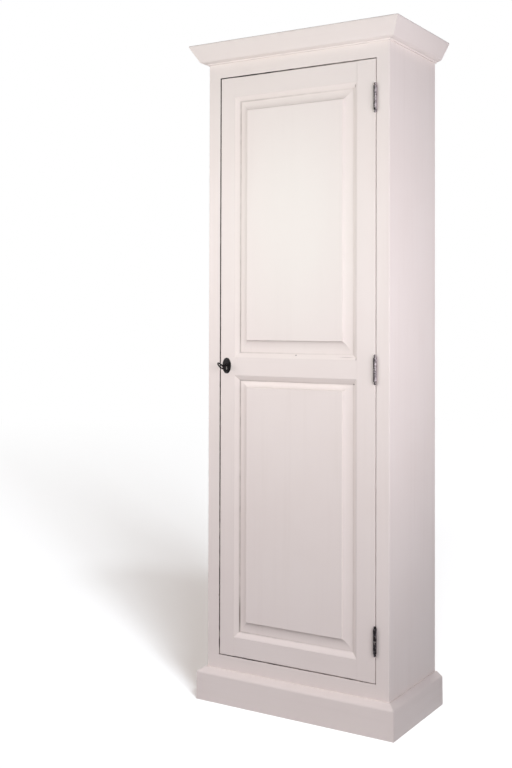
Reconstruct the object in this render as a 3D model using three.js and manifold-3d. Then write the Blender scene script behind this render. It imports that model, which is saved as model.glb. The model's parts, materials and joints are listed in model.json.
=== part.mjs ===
// A tall narrow cupboard with one door, a moulded cornice and a moulded plinth.
// Millimetres, +Z up. The origin is at the middle of the floor rectangle that the
// whole cupboard covers. The door and the cornice's long side face -Y.
import * as THREE from 'three';
import { mergeVertices } from 'three/addons/utils/BufferGeometryUtils.js';
import Module from 'manifold-3d';

const wasm = await Module();
wasm.setup();

// Carcass
const overallHeight = 2000;
const carcassWidth = 608;
const carcassDepth = 329;
const sideThickness = 20;
const topBoardThickness = 18;
const bottomBoardThickness = 18;
const backThickness = 12;
const backPlankCount = 4;
const backTongueThickness = 4;
const backTongueLength = 6;
const backTongueClearance = 0.4;

// Face frame around the door
const frameThickness = 22;
const frameStileWidth = 41;
const frameCornerRadius = 8;
const railAbovePlinth = 42.5;
const railBelowCornice = 44;
const frameBottomRailHeight = 94.5;
const frameTenonLength = 26;
const frameTenonThickness = 8;
const frameTenonShoulder = 10;

// Cornice, measured from the carcass face and from its own underside
const corniceHeight = 57;
const corniceProjection = 46;
const corniceBandHeight = 9;
const corniceTopEase = 1.2;
const corniceUnderFlat = 3;
const corniceUnderBulge = 16;
const corniceSplayFoot = 21;
const corniceSplayLift = 7.5;

// Plinth, measured from the carcass face and from the floor
const plinthHeight = 97;
const plinthFaceHeight = 82;
const plinthProjection = 25;
const plinthTaper = 1;
const plinthShoulder = 1.6;
const plinthTopLand = 8;
const plinthRoundFullness = 2.5;

// Shelves on battens
const shelfCount = 3;
const shelfThickness = 18;
const shelfSetback = 45;
const shelfClearance = 0.5;
const battenSize = 20;
const battenSetback = 60;
const battenBackGap = 17;

// Door and its gaps
const doorThickness = 24;
const lockGap = 3;
const hingeGap = 2;
const topGap = 3;
const bottomGap = 3;
const lockStileFace = 49.5;
const hingeStileFace = 58.5;
const topRailFace = 59;
const middleRailFace = 54.5;
const bottomRailFace = 57.3;
const middleRailHeight = 989.6;
const doorTenonLength = 32;
const lockTenonLength = 18;
const doorTenonThickness = 10;
const doorTenonShoulder = 4;

// Moulding stuck on the inner edges of the door frame, and the grooves behind it
const mouldingWidth = 15;
const mouldingDepth = 10;
const mouldingQuirk = 0.8;
const mouldingCrownRun = 8.5;
const mouldingCrownDrop = 2.4;
const grooveDepth = 10;
const panelPlay = 1.5;
const tongueThickness = 6;
const tongueClearance = 0.3;

// Raised panels: the field stands proud and falls in a cove to the tongue
const fieldProud = 2;
const coveDrop = 14;
const panelMarginSide = 30;
const upperPanelMarginTop = 30;
const upperPanelMarginBottom = 38;
const lowerPanelMarginTop = 20;
const lowerPanelMarginBottom = 35.5;

// Lift-off hinges
const hingeBarrelRadius = 5;
const hingeBarrelLength = 33;
const hingeBarrelClearance = 0.3;
const hingePivotInset = 1;
const hingeWasherThickness = 1.6;
const hingeWasherRadius = 5.5;
const hingeEndPlay = 0.3;
const hingePinRadius = 2.4;
const hingePinClearance = 0.2;
const hingePinReach = 26;
const hingeFinialLength = 8.5;
const hingeNeckRadius = 2.6;
const hingeBulbRadius = 3.6;
const hingeLeafThickness = 2;
const hingeLeafReach = 20;
const hingeScrewSetback = 12;
const hingeScrewSpacing = 25;
const hingeScrewLength = 14;
const bottomHingeRise = 118;
const topHingeDrop = 111;
const hardwareHeight = 1019;

// Screws
const screwHeadRadius = 3.3;
const screwHeadHeight = 1.7;
const screwShankRadius = 1.6;
const screwTipLength = 4;
const screwClearance = 0.25;

// Lock, bolt and strike
const keyBackset = 22.5;
const lockCaseSetback = 1.7;
const lockCaseWidth = 50;
const lockCaseHeight = 72;
const lockCaseDepth = 13.5;
const lockCaseWall = 1.6;
const lockCoverThickness = 1.8;
const lockScrewInset = 6;
const lockScrewLength = 26;
const boltLength = 44;
const boltHeight = 16;
const boltThickness = 8;
const boltDrop = 6;
const boltSetback = 2;
const boltInset = 0.4;
const boltNotchStart = 2.4;
const boltNotchWidth = 7.2;
const boltNotchDepth = 6.6;
const strikeWidth = 20;
const strikeHeight = 50;
const strikeThickness = 2;
const strikeInset = 1;
const strikeScrewInset = 8;
const strikeScrewLength = 16;

// Key and escutcheon
const keyShankRadius = 3;
const keyBitRadius = 11;
const keyBitThickness = 2.4;
const keyBitLength = 6;
const keyBitStart = 27;
const keyWardWidth = 1.6;
const keyWardDepth = 3;
const keyTipEase = 0.8;
const keyTipInCover = 1.5;
const keyPivotClearance = 0.25;
const keyBowWidth = 28;
const keyBowLength = 21;
const keyBowWire = 2.2;
const keyBowReach = 34;
const keyCollarRadius = 4.3;
const keyCollarLength = 2.2;
const keyCollarGap = 3;
const keyRestTurn = THREE.MathUtils.degToRad(-45);
const keyholeRadius = 4;
const keyholeSlotWidth = 4.4;
const keyholeSlotDrop = 12.2;
const escutcheonWidth = 30;
const escutcheonHeight = 48;
const escutcheonThickness = 2.2;
const escutcheonBevel = 2.4;
const escutcheonEdge = 1.2;
const pinInset = 4.5;
const pinShankRadius = 0.8;
const pinShankLength = 9;
const pinHeadRadius = 1.8;
const pinHeadHeight = 0.9;
const pinClearance = 0.2;

// Door stop behind the top rail
const stopLength = 300;
const stopDepth = 18;
const stopRise = 26;
const stopReach = 12;
const stopClearance = 0.4;

// Fits and facets
const cutOverrun = 5;
const mitreGap = 0.4;
const jointGap = 0.3;
const mortiseGap = 0.3;
const roundSides = 20;
const smallRoundSides = 10;
const ellipseSides = 28;
const curveSteps = 6;
const coveSteps = 8;

// Places that follow from the sizes above
const carcassHalf = carcassWidth / 2;
const innerHalf = carcassHalf - sideThickness;
const openingHalf = carcassHalf - frameStileWidth;
const ceilingZ = overallHeight - topBoardThickness;
const corniceBottom = overallHeight - corniceHeight;
const openingTop = corniceBottom - railBelowCornice;
const openingBottom = plinthHeight + railAbovePlinth;
const backFrontY = carcassDepth - backThickness;
const doorLeft = -openingHalf + lockGap;
const doorRight = openingHalf - hingeGap;
const doorBottom = openingBottom + bottomGap;
const doorTop = openingTop - topGap;
const tongueFront = coveDrop - fieldProud;
const pivotX = openingHalf - hingePivotInset;
const pivotY = -(hingeBarrelRadius + hingeBarrelClearance);
const keyX = doorLeft + keyBackset;
const hingeCentres = [doorBottom + bottomHingeRise, hardwareHeight, doorTop - topHingeDrop];

// The flat faces of the door's stiles and rails end here, and the lips of the
// moulding stand one moulding width further in.
const flat = {
  left: doorLeft + lockStileFace,
  right: doorRight - hingeStileFace,
  bottomRailTop: doorBottom + bottomRailFace,
  middleRailBottom: middleRailHeight,
  middleRailTop: middleRailHeight + middleRailFace,
  topRailBottom: doorTop - topRailFace,
};
const lowerOpening = lipRectangle(flat.bottomRailTop, flat.middleRailBottom);
const upperOpening = lipRectangle(flat.middleRailTop, flat.topRailBottom);

function lipRectangle(flatBottom, flatTop) {
  return {
    left: flat.left + mouldingWidth,
    right: flat.right - mouldingWidth,
    bottom: flatBottom + mouldingWidth,
    top: flatTop - mouldingWidth,
  };
}

// Finishes
const finishes = {
  creamPaint: { color: 0xebe3db, roughness: 0.45, metalness: 0 },
  bareWood: { color: 0xb5926a, roughness: 0.75, metalness: 0 },
  agedIron: { color: 0x4b4541, roughness: 0.5, metalness: 0.85 },
  blackIron: { color: 0x23211f, roughness: 0.45, metalness: 0.7 },
  greySteel: { color: 0x8b8883, roughness: 0.4, metalness: 0.9 },
};

// Everything is placed with Y = 0 on the face of the carcass, in one inner group.
const cupboard = new THREE.Group();
const carcassFrame = new THREE.Group();
carcassFrame.position.y = (corniceProjection - carcassDepth) / 2;
cupboard.add(carcassFrame);

function place(name, geometry, finish, position = [0, 0, 0]) {
  const material = new THREE.MeshStandardMaterial({ ...finishes[finish], flatShading: true });
  const mesh = new THREE.Mesh(geometry, material);
  mesh.name = name;
  mesh.position.set(...position);
  carcassFrame.add(mesh);
  return mesh;
}

// A box between two corners.
function block([x0, x1], [y0, y1], [z0, z1]) {
  const geometry = new THREE.BoxGeometry(x1 - x0, y1 - y0, z1 - z0);
  return geometry.translate((x0 + x1) / 2, (y0 + y1) / 2, (z0 + z1) / 2);
}

// An outline in X and Y, carried up from z0 to z1.
function post(outline, [z0, z1]) {
  const shape = new THREE.Shape(outline.map(([x, y]) => new THREE.Vector2(x, y)));
  const geometry = new THREE.ExtrudeGeometry(shape, { depth: z1 - z0, bevelEnabled: false });
  return geometry.translate(0, 0, z0);
}

// An outline in X and Z, carried back from y0 to y1.
function slab(outline, [y0, y1]) {
  const shape = new THREE.Shape(outline.map(([x, z]) => new THREE.Vector2(x, z)));
  const geometry = new THREE.ExtrudeGeometry(shape, { depth: y1 - y0, bevelEnabled: false });
  return geometry.rotateX(Math.PI / 2).translate(0, y1, 0);
}

// A turned shape: radius and distance pairs along a direction from a point.
function turned(profile, from, direction, sides) {
  const geometry = new THREE.LatheGeometry(
    profile.map(([radius, along]) => new THREE.Vector2(radius, along)),
    sides,
  );
  const turn = new THREE.Quaternion().setFromUnitVectors(
    new THREE.Vector3(0, 1, 0),
    new THREE.Vector3(...direction),
  );
  return outward(geometry.applyQuaternion(turn).translate(...from));
}

// A closed skin over matching rings of points. The outline gives the flat form of
// the first and last rings, which are filled in.
function loft(rings, outline) {
  const count = outline.length;
  const sign = Math.sign(THREE.ShapeUtils.area(outline));
  const index = [];
  for (let ring = 0; ring < rings.length - 1; ring += 1) {
    for (let side = 0; side < count; side += 1) {
      const a = ring * count + side;
      const b = ring * count + ((side + 1) % count);
      index.push(a, b, b + count, a, b + count, a + count);
    }
  }
  const lastRing = (rings.length - 1) * count;
  for (const [a, b, c] of THREE.ShapeUtils.triangulateShape(outline, [])) {
    const same = Math.sign(THREE.ShapeUtils.area([outline[a], outline[b], outline[c]])) === sign;
    const [second, third] = same ? [b, c] : [c, b];
    index.push(a, third, second);
    index.push(lastRing + a, lastRing + second, lastRing + third);
  }
  const geometry = new THREE.BufferGeometry();
  const places = rings.flat(2);
  geometry.setAttribute('position', new THREE.Float32BufferAttribute(places, 3));
  geometry.setIndex(index);
  return outward(geometry);
}

// Turns a closed skin right side out.
function outward(geometry) {
  const places = geometry.attributes.position;
  const index = geometry.index.array;
  const [a, b, c] = [new THREE.Vector3(), new THREE.Vector3(), new THREE.Vector3()];
  let volume = 0;
  for (let i = 0; i < index.length; i += 3) {
    a.fromBufferAttribute(places, index[i]);
    b.fromBufferAttribute(places, index[i + 1]);
    c.fromBufferAttribute(places, index[i + 2]);
    volume += a.dot(b.cross(c));
  }
  if (volume < 0) {
    for (let i = 0; i < index.length; i += 3) {
      [index[i + 1], index[i + 2]] = [index[i + 2], index[i + 1]];
    }
  }
  return geometry;
}

function solidFrom(geometry) {
  const bare = geometry.clone();
  for (const name of Object.keys(bare.attributes)) {
    if (name !== 'position') bare.deleteAttribute(name);
  }
  const merged = mergeVertices(bare);
  return new wasm.Manifold(new wasm.Mesh({
    numProp: 3,
    vertProperties: new Float32Array(merged.attributes.position.array),
    triVerts: new Uint32Array(merged.index.array),
  }));
}

function geometryFrom(solid) {
  const { vertProperties, triVerts } = solid.getMesh();
  const geometry = new THREE.BufferGeometry();
  geometry.setAttribute('position', new THREE.Float32BufferAttribute(vertProperties, 3));
  geometry.setIndex(Array.from(triVerts));
  return geometry;
}

function cut(geometry, tools) {
  const solid = tools.reduce((rest, tool) => rest.subtract(solidFrom(tool)), solidFrom(geometry));
  return geometryFrom(solid);
}

function join(geometries) {
  const [first, ...others] = geometries.map(solidFrom);
  return geometryFrom(others.reduce((sum, next) => sum.add(next), first));
}

// Points on a quadratic curve, without its first point.
function curve([x0, y0], [xc, yc], [x1, y1], steps) {
  const line = new THREE.QuadraticBezierCurve(
    new THREE.Vector2(x0, y0),
    new THREE.Vector2(xc, yc),
    new THREE.Vector2(x1, y1),
  );
  return line.getPoints(steps).slice(1).map((point) => [point.x, point.y]);
}

// Mouldings that wrap round the front and both sides of the carcass. A profile is a
// list of projection and height pairs. The front run is mitred at both ends and each
// side run is mitred in front and square at the back.
function frontRun(profile) {
  const outline = profile.map(([out, z]) => new THREE.Vector2(out, z));
  const end = (side) => profile.map(([out, z]) => [side * (carcassHalf + out - mitreGap), -out, z]);
  return loft([end(-1), end(1)], outline);
}

function sideRun(profile, side) {
  const outline = profile.map(([out, z]) => new THREE.Vector2(out, z));
  const front = profile.map(([out, z]) => [side * (carcassHalf + out), -out, z]);
  const back = profile.map(([out, z]) => [side * (carcassHalf + out), carcassDepth, z]);
  return loft([front, back], outline);
}

function wrapRound(name, profile) {
  place(`${name}_front`, frontRun(profile), 'creamPaint');
  place(`${name}_left`, sideRun(profile, -1), 'creamPaint');
  place(`${name}_right`, sideRun(profile, 1), 'creamPaint');
}

// A small vertical band above a straight splay, with a rounded foot below.
function corniceProfile() {
  const splayTop = overallHeight - corniceBandHeight;
  const splayFoot = [corniceSplayFoot, corniceBottom + corniceSplayLift];
  return [
    [0, corniceBottom],
    [corniceUnderFlat, corniceBottom],
    ...curve([corniceUnderFlat, corniceBottom], [corniceUnderBulge, corniceBottom], splayFoot, curveSteps),
    [corniceProjection, splayTop],
    [corniceProjection, overallHeight - corniceTopEase],
    [corniceProjection - corniceTopEase, overallHeight],
    [0, overallHeight],
  ];
}

// A tall plain face, a small shoulder and a round that dies into a flat top.
function plinthProfile() {
  const faceTop = plinthProjection - plinthTaper;
  const roundStart = [faceTop - plinthShoulder, plinthFaceHeight + plinthShoulder];
  const fullest = [faceTop - plinthShoulder, plinthHeight - plinthRoundFullness];
  return [
    [0, 0],
    [plinthProjection, 0],
    [faceTop, plinthFaceHeight],
    roundStart,
    ...curve(roundStart, fullest, [plinthTopLand, plinthHeight], curveSteps),
    [0, plinthHeight],
  ];
}

// Screws: a countersunk head, a shank and a point, and the hole that takes them.
function screw(from, direction, length) {
  const profile = [
    [0, 0],
    [screwHeadRadius, 0],
    [screwShankRadius, screwHeadHeight],
    [screwShankRadius, length - screwTipLength],
    [0, length],
  ];
  return turned(profile, from, direction, smallRoundSides);
}

function screwHole(from, direction, length) {
  const profile = [
    [0, -cutOverrun],
    [screwHeadRadius + screwClearance, -cutOverrun],
    [screwHeadRadius + screwClearance, 0],
    [screwShankRadius + screwClearance, screwHeadHeight],
    [screwShankRadius + screwClearance, length + screwClearance],
    [0, length + screwClearance],
  ];
  return turned(profile, from, direction, smallRoundSides);
}

// Shelves, each on two battens
const shelfRoom = ceilingZ - openingBottom - shelfCount * shelfThickness;
const shelfPitch = shelfRoom / (shelfCount + 1) + shelfThickness;

function buildShelves() {
  const reach = innerHalf - shelfClearance;
  for (let level = 1; level <= shelfCount; level += 1) {
    const top = openingBottom + level * shelfPitch;
    const shelf = block([-reach, reach], [shelfSetback, backFrontY - shelfClearance], [-shelfThickness, 0]);
    place(`shelf_${level}`, shelf, 'bareWood', [0, 0, top]);
    for (const side of [-1, 1]) {
      const ends = [side * (innerHalf - battenSize), side * innerHalf].sort((a, b) => a - b);
      const bar = block(ends, [battenSetback, backFrontY - battenBackGap], [-battenSize, 0]);
      const name = `shelf_batten_${level}_${side < 0 ? 'left' : 'right'}`;
      place(name, bar, 'bareWood', [0, 0, top - shelfThickness]);
    }
  }
}

// Carcass boards
function buildSides() {
  for (const side of [-1, 1]) {
    const ends = [side * innerHalf, side * carcassHalf].sort((a, b) => a - b);
    const board = block(ends, [frameThickness, carcassDepth], [0, ceilingZ]);
    place(side < 0 ? 'side_left' : 'side_right', board, 'creamPaint');
  }
}

// Upright boards with a tongue on one edge and a groove in the other.
function buildBack() {
  const plankWidth = 2 * innerHalf / backPlankCount;
  const middle = carcassDepth - backThickness / 2;
  const halfTongue = backTongueThickness / 2;
  const halfGroove = halfTongue + backTongueClearance;
  const grooveFloor = backTongueLength + backTongueClearance;
  for (let i = 0; i < backPlankCount; i += 1) {
    const left = -innerHalf + i * plankWidth;
    const right = left + plankWidth;
    const last = i === backPlankCount - 1;
    const grooveSide = i === 0 ? [] : [
      [left, middle + halfGroove],
      [left + grooveFloor, middle + halfGroove],
      [left + grooveFloor, middle - halfGroove],
      [left, middle - halfGroove],
    ];
    const tongueSide = last ? [] : [
      [right, middle - halfTongue],
      [right + backTongueLength, middle - halfTongue],
      [right + backTongueLength, middle + halfTongue],
      [right, middle + halfTongue],
    ];
    const outline = [
      [left, backFrontY],
      [right, backFrontY],
      ...tongueSide,
      [right, carcassDepth],
      [left, carcassDepth],
      ...grooveSide,
    ];
    const foot = openingBottom - bottomBoardThickness;
    place(`back_plank_${i + 1}`, post(outline, [foot, ceilingZ]), 'bareWood');
  }
}

function buildBoards() {
  const bottomZ = [openingBottom - bottomBoardThickness, openingBottom];
  const bottomBoard = block([-innerHalf, innerHalf], [frameThickness, backFrontY], bottomZ);
  place('bottom_board', bottomBoard, 'bareWood');
  const topBoard = block([-carcassHalf, carcassHalf], [0, carcassDepth], [ceilingZ, overallHeight]);
  place('top_board', topBoard, 'bareWood');
}

// Face frame: two stiles with rounded outer corners and two rails tenoned into them.
const frameTenonY = [
  (frameThickness - frameTenonThickness) / 2,
  (frameThickness + frameTenonThickness) / 2,
];
const frameRails = {
  frame_rail_top: [openingTop, ceilingZ],
  frame_rail_bottom: [openingBottom - frameBottomRailHeight, openingBottom],
};

function grow([low, high], by) {
  return [low - by, high + by];
}

function frameMortises(side) {
  return Object.values(frameRails).map((height) => {
    const depth = frameTenonLength + mortiseGap;
    const ends = [side * (openingHalf - cutOverrun), side * (openingHalf + depth)];
    const tenonZ = grow(height, -frameTenonShoulder);
    return block(ends.sort((a, b) => a - b), grow(frameTenonY, mortiseGap), grow(tenonZ, mortiseGap));
  });
}

function buildFrame() {
  for (const side of [-1, 1]) {
    const corner = curve(
      [side * (carcassHalf - frameCornerRadius), 0],
      [side * carcassHalf, 0],
      [side * carcassHalf, frameCornerRadius],
      curveSteps,
    );
    const outline = [
      [side * openingHalf, frameThickness],
      [side * openingHalf, 0],
      [side * (carcassHalf - frameCornerRadius), 0],
      ...corner,
      [side * carcassHalf, frameThickness],
    ];
    const hardwareCuts = side > 0 ? hingePockets('frame') : strikeHoles();
    const stile = cut(post(outline, [0, ceilingZ]), [...frameMortises(side), ...hardwareCuts]);
    place(side < 0 ? 'frame_stile_left' : 'frame_stile_right', stile, 'creamPaint');
  }
  for (const [name, height] of Object.entries(frameRails)) {
    const rail = block([-openingHalf, openingHalf], [0, frameThickness], height);
    const reach = openingHalf + frameTenonLength;
    const tenon = block([-reach, reach], frameTenonY, grow(height, -frameTenonShoulder));
    place(name, join([rail, tenon]), 'creamPaint');
  }
}

// Door frame. Its members carry their moulding on the inner edge, so each outline
// steps in by the moulding's width beside an opening, with mitred corners.
function stileOutline(edge, flatX, lipX) {
  const opening = (bottomFlat, topFlat) => [
    [flatX, bottomFlat],
    [lipX, bottomFlat + mouldingWidth],
    [lipX, topFlat - mouldingWidth],
    [flatX, topFlat],
  ];
  return [
    [edge, doorBottom],
    [flatX, doorBottom],
    ...opening(flat.bottomRailTop, flat.middleRailBottom),
    ...opening(flat.middleRailTop, flat.topRailBottom),
    [flatX, doorTop],
    [edge, doorTop],
  ];
}

function railOutline(bottom, top, mouldedBelow, mouldedAbove) {
  const left = flat.left + jointGap;
  const right = flat.right - jointGap;
  const below = mouldedBelow ? [
    [left + mouldingWidth, bottom - mouldingWidth],
    [right - mouldingWidth, bottom - mouldingWidth],
  ] : [];
  const above = mouldedAbove ? [
    [right - mouldingWidth, top + mouldingWidth],
    [left + mouldingWidth, top + mouldingWidth],
  ] : [];
  return [[left, bottom], ...below, [right, bottom], [right, top], ...above, [left, top]];
}

// The moulding's hollow: rings of the opening that shrink from the flat faces to the lips.
function mouldingCutter(opening) {
  const profile = [
    [0, -cutOverrun],
    [0, mouldingQuirk],
    ...curve(
      [0, mouldingQuirk],
      [mouldingCrownRun, mouldingCrownDrop],
      [mouldingWidth, mouldingDepth],
      curveSteps,
    ),
  ];
  return rectangleLoft(opening, profile.map(([inward, y]) => {
    const out = mouldingWidth - inward;
    return { left: out, right: out, bottom: out, top: out, y };
  }));
}

// A closed body whose rings are the rectangle, grown on each side by the given sizes.
function rectangleLoft({ left, right, bottom, top }, rings) {
  const corners = rings.map((ring) => [
    [left - ring.left, ring.y, bottom - ring.bottom],
    [right + ring.right, ring.y, bottom - ring.bottom],
    [right + ring.right, ring.y, top + ring.top],
    [left - ring.left, ring.y, top + ring.top],
  ]);
  const outline = corners[0].map(([x, , z]) => new THREE.Vector2(x, z));
  return loft(corners, outline);
}

function grooveCutter({ left, right, bottom, top }) {
  const y = grow([tongueFront, tongueFront + tongueThickness], tongueClearance);
  return block(grow([left, right], grooveDepth), y, grow([bottom, top], grooveDepth));
}

const doorTenonY = [
  (doorThickness - doorTenonThickness) / 2,
  (doorThickness + doorTenonThickness) / 2,
];
const doorRails = {
  door_rail_bottom: { z: [doorBottom, flat.bottomRailTop], lockTenon: doorTenonLength },
  door_rail_middle: { z: [flat.middleRailBottom, flat.middleRailTop], lockTenon: lockTenonLength },
  door_rail_top: { z: [flat.topRailBottom, doorTop], lockTenon: doorTenonLength },
};

function doorMortises(onLockSide) {
  return Object.values(doorRails).map(({ z, lockTenon }) => {
    const x = onLockSide
      ? [flat.left - lockTenon - mortiseGap, flat.left + cutOverrun]
      : [flat.right - cutOverrun, flat.right + doorTenonLength + mortiseGap];
    const tenonZ = grow(z, -doorTenonShoulder);
    return block(x, grow(doorTenonY, mortiseGap), grow(tenonZ, mortiseGap));
  });
}

function buildDoorFrame() {
  const openingCuts = [lowerOpening, upperOpening].flatMap((opening) => [
    mouldingCutter(opening),
    grooveCutter(opening),
  ]);
  const lockOutline = stileOutline(doorLeft, flat.left, flat.left + mouldingWidth);
  const lockStile = cut(slab(lockOutline, [0, doorThickness]), [
    ...openingCuts,
    ...doorMortises(true),
    ...keyholeCutters([0, doorThickness]),
    ...pinSpots().map((spot) => pinHole(spot)),
    ...lockScrewSpots().map((spot) => screwHole(spot, [0, -1, 0], lockScrewLength)),
  ]);
  place('door_stile_lock', lockStile, 'creamPaint');
  const hingeOutline = stileOutline(doorRight, flat.right, flat.right - mouldingWidth);
  const hingeStile = cut(slab(hingeOutline, [0, doorThickness]), [
    ...openingCuts,
    ...doorMortises(false),
    ...hingePockets('door'),
  ]);
  place('door_stile_hinge', hingeStile, 'creamPaint');
  for (const [name, { z, lockTenon }] of Object.entries(doorRails)) {
    const outline = railOutline(z[0], z[1], name !== 'door_rail_bottom', name !== 'door_rail_top');
    const moulded = cut(slab(outline, [0, doorThickness]), openingCuts);
    const tenonX = [flat.left - lockTenon, flat.right + doorTenonLength];
    const tenon = block(tenonX, doorTenonY, grow(z, -doorTenonShoulder));
    place(name, join([moulded, tenon]), 'creamPaint');
  }
}

// A raised panel: a flat field, a quarter-ellipse cove on all sides and a thin tongue.
function raisedPanel(opening, marginTop, marginBottom) {
  const inTongue = grooveDepth - panelPlay;
  const coveRings = Array.from({ length: coveSteps + 1 }, (_, i) => {
    const angle = (i / coveSteps) * Math.PI / 2;
    const inside = Math.cos(angle);
    return {
      left: -panelMarginSide * inside,
      right: -panelMarginSide * inside,
      bottom: -marginBottom * inside,
      top: -marginTop * inside,
      y: -fieldProud + coveDrop * Math.sin(angle),
    };
  });
  const edge = (y) => ({ left: inTongue, right: inTongue, bottom: inTongue, top: inTongue, y });
  return rectangleLoft(opening, [
    ...coveRings,
    edge(tongueFront),
    edge(tongueFront + tongueThickness),
  ]);
}

function buildPanels() {
  const lower = raisedPanel(lowerOpening, lowerPanelMarginTop, lowerPanelMarginBottom);
  place('door_panel_lower', lower, 'creamPaint');
  const upper = raisedPanel(upperOpening, upperPanelMarginTop, upperPanelMarginBottom);
  place('door_panel_upper', upper, 'creamPaint');
}

// Hinges. Each half is a turned barrel with a finial, joined to a leaf that is let
// into the wood and to the leaf's own fixings. The frame's half is the lower one and
// carries the pin, so the door lifts off.
const barrelGap = hingeWasherThickness / 2 + hingeEndPlay;
const leafHalf = barrelGap + hingeBarrelLength;
const hingeBoreRadius = hingePinRadius + hingePinClearance;
const finialNeckShare = 0.25;
const finialBulbShare = 0.6;
const hingeHalves = {
  frame: { x: [openingHalf, openingHalf + hingeLeafThickness], face: openingHalf, into: 1, up: -1 },
  door: { x: [doorRight - hingeLeafThickness, doorRight], face: doorRight, into: -1, up: 1 },
};

function hingeBarrel(member, centre) {
  const pinEnd = -barrelGap - hingePinReach;
  const boreEnd = barrelGap + hingePinReach + hingeEndPlay;
  const core = member === 'frame'
    ? [[0, pinEnd], [hingePinRadius, pinEnd], [hingePinRadius, barrelGap]]
    : [[0, boreEnd], [hingeBoreRadius, boreEnd], [hingeBoreRadius, barrelGap]];
  const profile = [
    ...core,
    [hingeBarrelRadius, barrelGap],
    [hingeBarrelRadius, leafHalf],
    [hingeNeckRadius, leafHalf + hingeFinialLength * finialNeckShare],
    [hingeBulbRadius, leafHalf + hingeFinialLength * finialBulbShare],
    [0, leafHalf + hingeFinialLength],
  ];
  return turned(profile, [pivotX, pivotY, centre], [0, 0, hingeHalves[member].up], roundSides);
}

function hingeScrewSpots(member, centre) {
  const { face } = hingeHalves[member];
  return [-hingeScrewSpacing, 0, hingeScrewSpacing].map((rise) => [face, hingeScrewSetback, centre + rise]);
}

function hingeHalf(member, centre) {
  const { x, into, up } = hingeHalves[member];
  const leafZ = [centre - leafHalf, centre + leafHalf];
  const ends = [centre + up * barrelGap, centre + up * leafHalf].sort((a, b) => a - b);
  const strap = block(x, [pivotY, hingeLeafReach], ends);
  const bore = turned(
    [
      [0, barrelGap - cutOverrun],
      [hingeBoreRadius, barrelGap - cutOverrun],
      [hingeBoreRadius, barrelGap + hingePinReach + hingeEndPlay],
      [0, barrelGap + hingePinReach + hingeEndPlay],
    ],
    [pivotX, pivotY, centre],
    [0, 0, 1],
    roundSides,
  );
  const leaf = join([block(x, [hingeBarrelClearance, hingeLeafReach], leafZ), strap]);
  const bored = member === 'door' ? cut(leaf, [bore]) : leaf;
  const fixings = hingeScrewSpots(member, centre).map((from) => screw(from, [into, 0, 0], hingeScrewLength));
  return join([bored, hingeBarrel(member, centre), ...fixings]);
}

// Pockets and screw holes for the leaves in the frame or in the door.
function hingePockets(member) {
  const { x, into } = hingeHalves[member];
  const deep = into > 0 ? [x[0] - cutOverrun, x[1] + mortiseGap] : [x[0] - mortiseGap, x[1] + cutOverrun];
  const pocketY = [-cutOverrun, hingeLeafReach + mortiseGap];
  return hingeCentres.flatMap((centre) => [
    block(deep, pocketY, grow([centre - leafHalf, centre + leafHalf], mortiseGap)),
    ...hingeScrewSpots(member, centre).map((from) => screwHole(from, [into, 0, 0], hingeScrewLength)),
  ]);
}

function hingeWasher(centre) {
  const half = hingeWasherThickness / 2;
  const profile = [
    [hingeBoreRadius, -half],
    [hingeWasherRadius, -half],
    [hingeWasherRadius, half],
    [hingeBoreRadius, half],
    [hingeBoreRadius, -half],
  ];
  return turned(profile, [pivotX, pivotY, centre], [0, 0, 1], roundSides);
}

function buildHinges() {
  hingeCentres.forEach((centre, i) => {
    place(`hinge_frame_leaf_${i + 1}`, hingeHalf('frame', centre), 'agedIron');
    place(`hinge_door_leaf_${i + 1}`, hingeHalf('door', centre), 'agedIron');
    place(`hinge_washer_${i + 1}`, hingeWasher(centre), 'greySteel');
  });
}

// Lock case on the back of the door, with a cover, a sliding bolt and a strike plate
// on the back of the frame.
const lockX = [doorLeft + lockCaseSetback, doorLeft + lockCaseSetback + lockCaseWidth];
const lockZ = grow([hardwareHeight, hardwareHeight], lockCaseHeight / 2);
const lockBackY = doorThickness + lockCaseDepth;
const coverY = [lockBackY + jointGap, lockBackY + jointGap + lockCoverThickness];
const boltX = [lockX[0] + boltInset, lockX[0] + boltInset + boltLength];
const boltY = [doorThickness + boltSetback, doorThickness + boltSetback + boltThickness];
const boltZ = [hardwareHeight - boltDrop - boltHeight, hardwareHeight - boltDrop];

function lockScrewSpots() {
  const xs = [lockX[0] + lockScrewInset, lockX[1] - lockScrewInset];
  const zs = grow(lockZ, -lockScrewInset);
  return xs.flatMap((x) => zs.map((z) => [x, coverY[1], z]));
}

function keyholeCutters([y0, y1]) {
  const along = [y0 - cutOverrun, y1 + cutOverrun];
  const hole = turned(
    [[0, along[0]], [keyholeRadius, along[0]], [keyholeRadius, along[1]], [0, along[1]]],
    [keyX, 0, hardwareHeight],
    [0, 1, 0],
    roundSides,
  );
  const half = keyholeSlotWidth / 2;
  const slot = block([keyX - half, keyX + half], along, [hardwareHeight - keyholeSlotDrop, hardwareHeight]);
  return [hole, slot];
}

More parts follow.
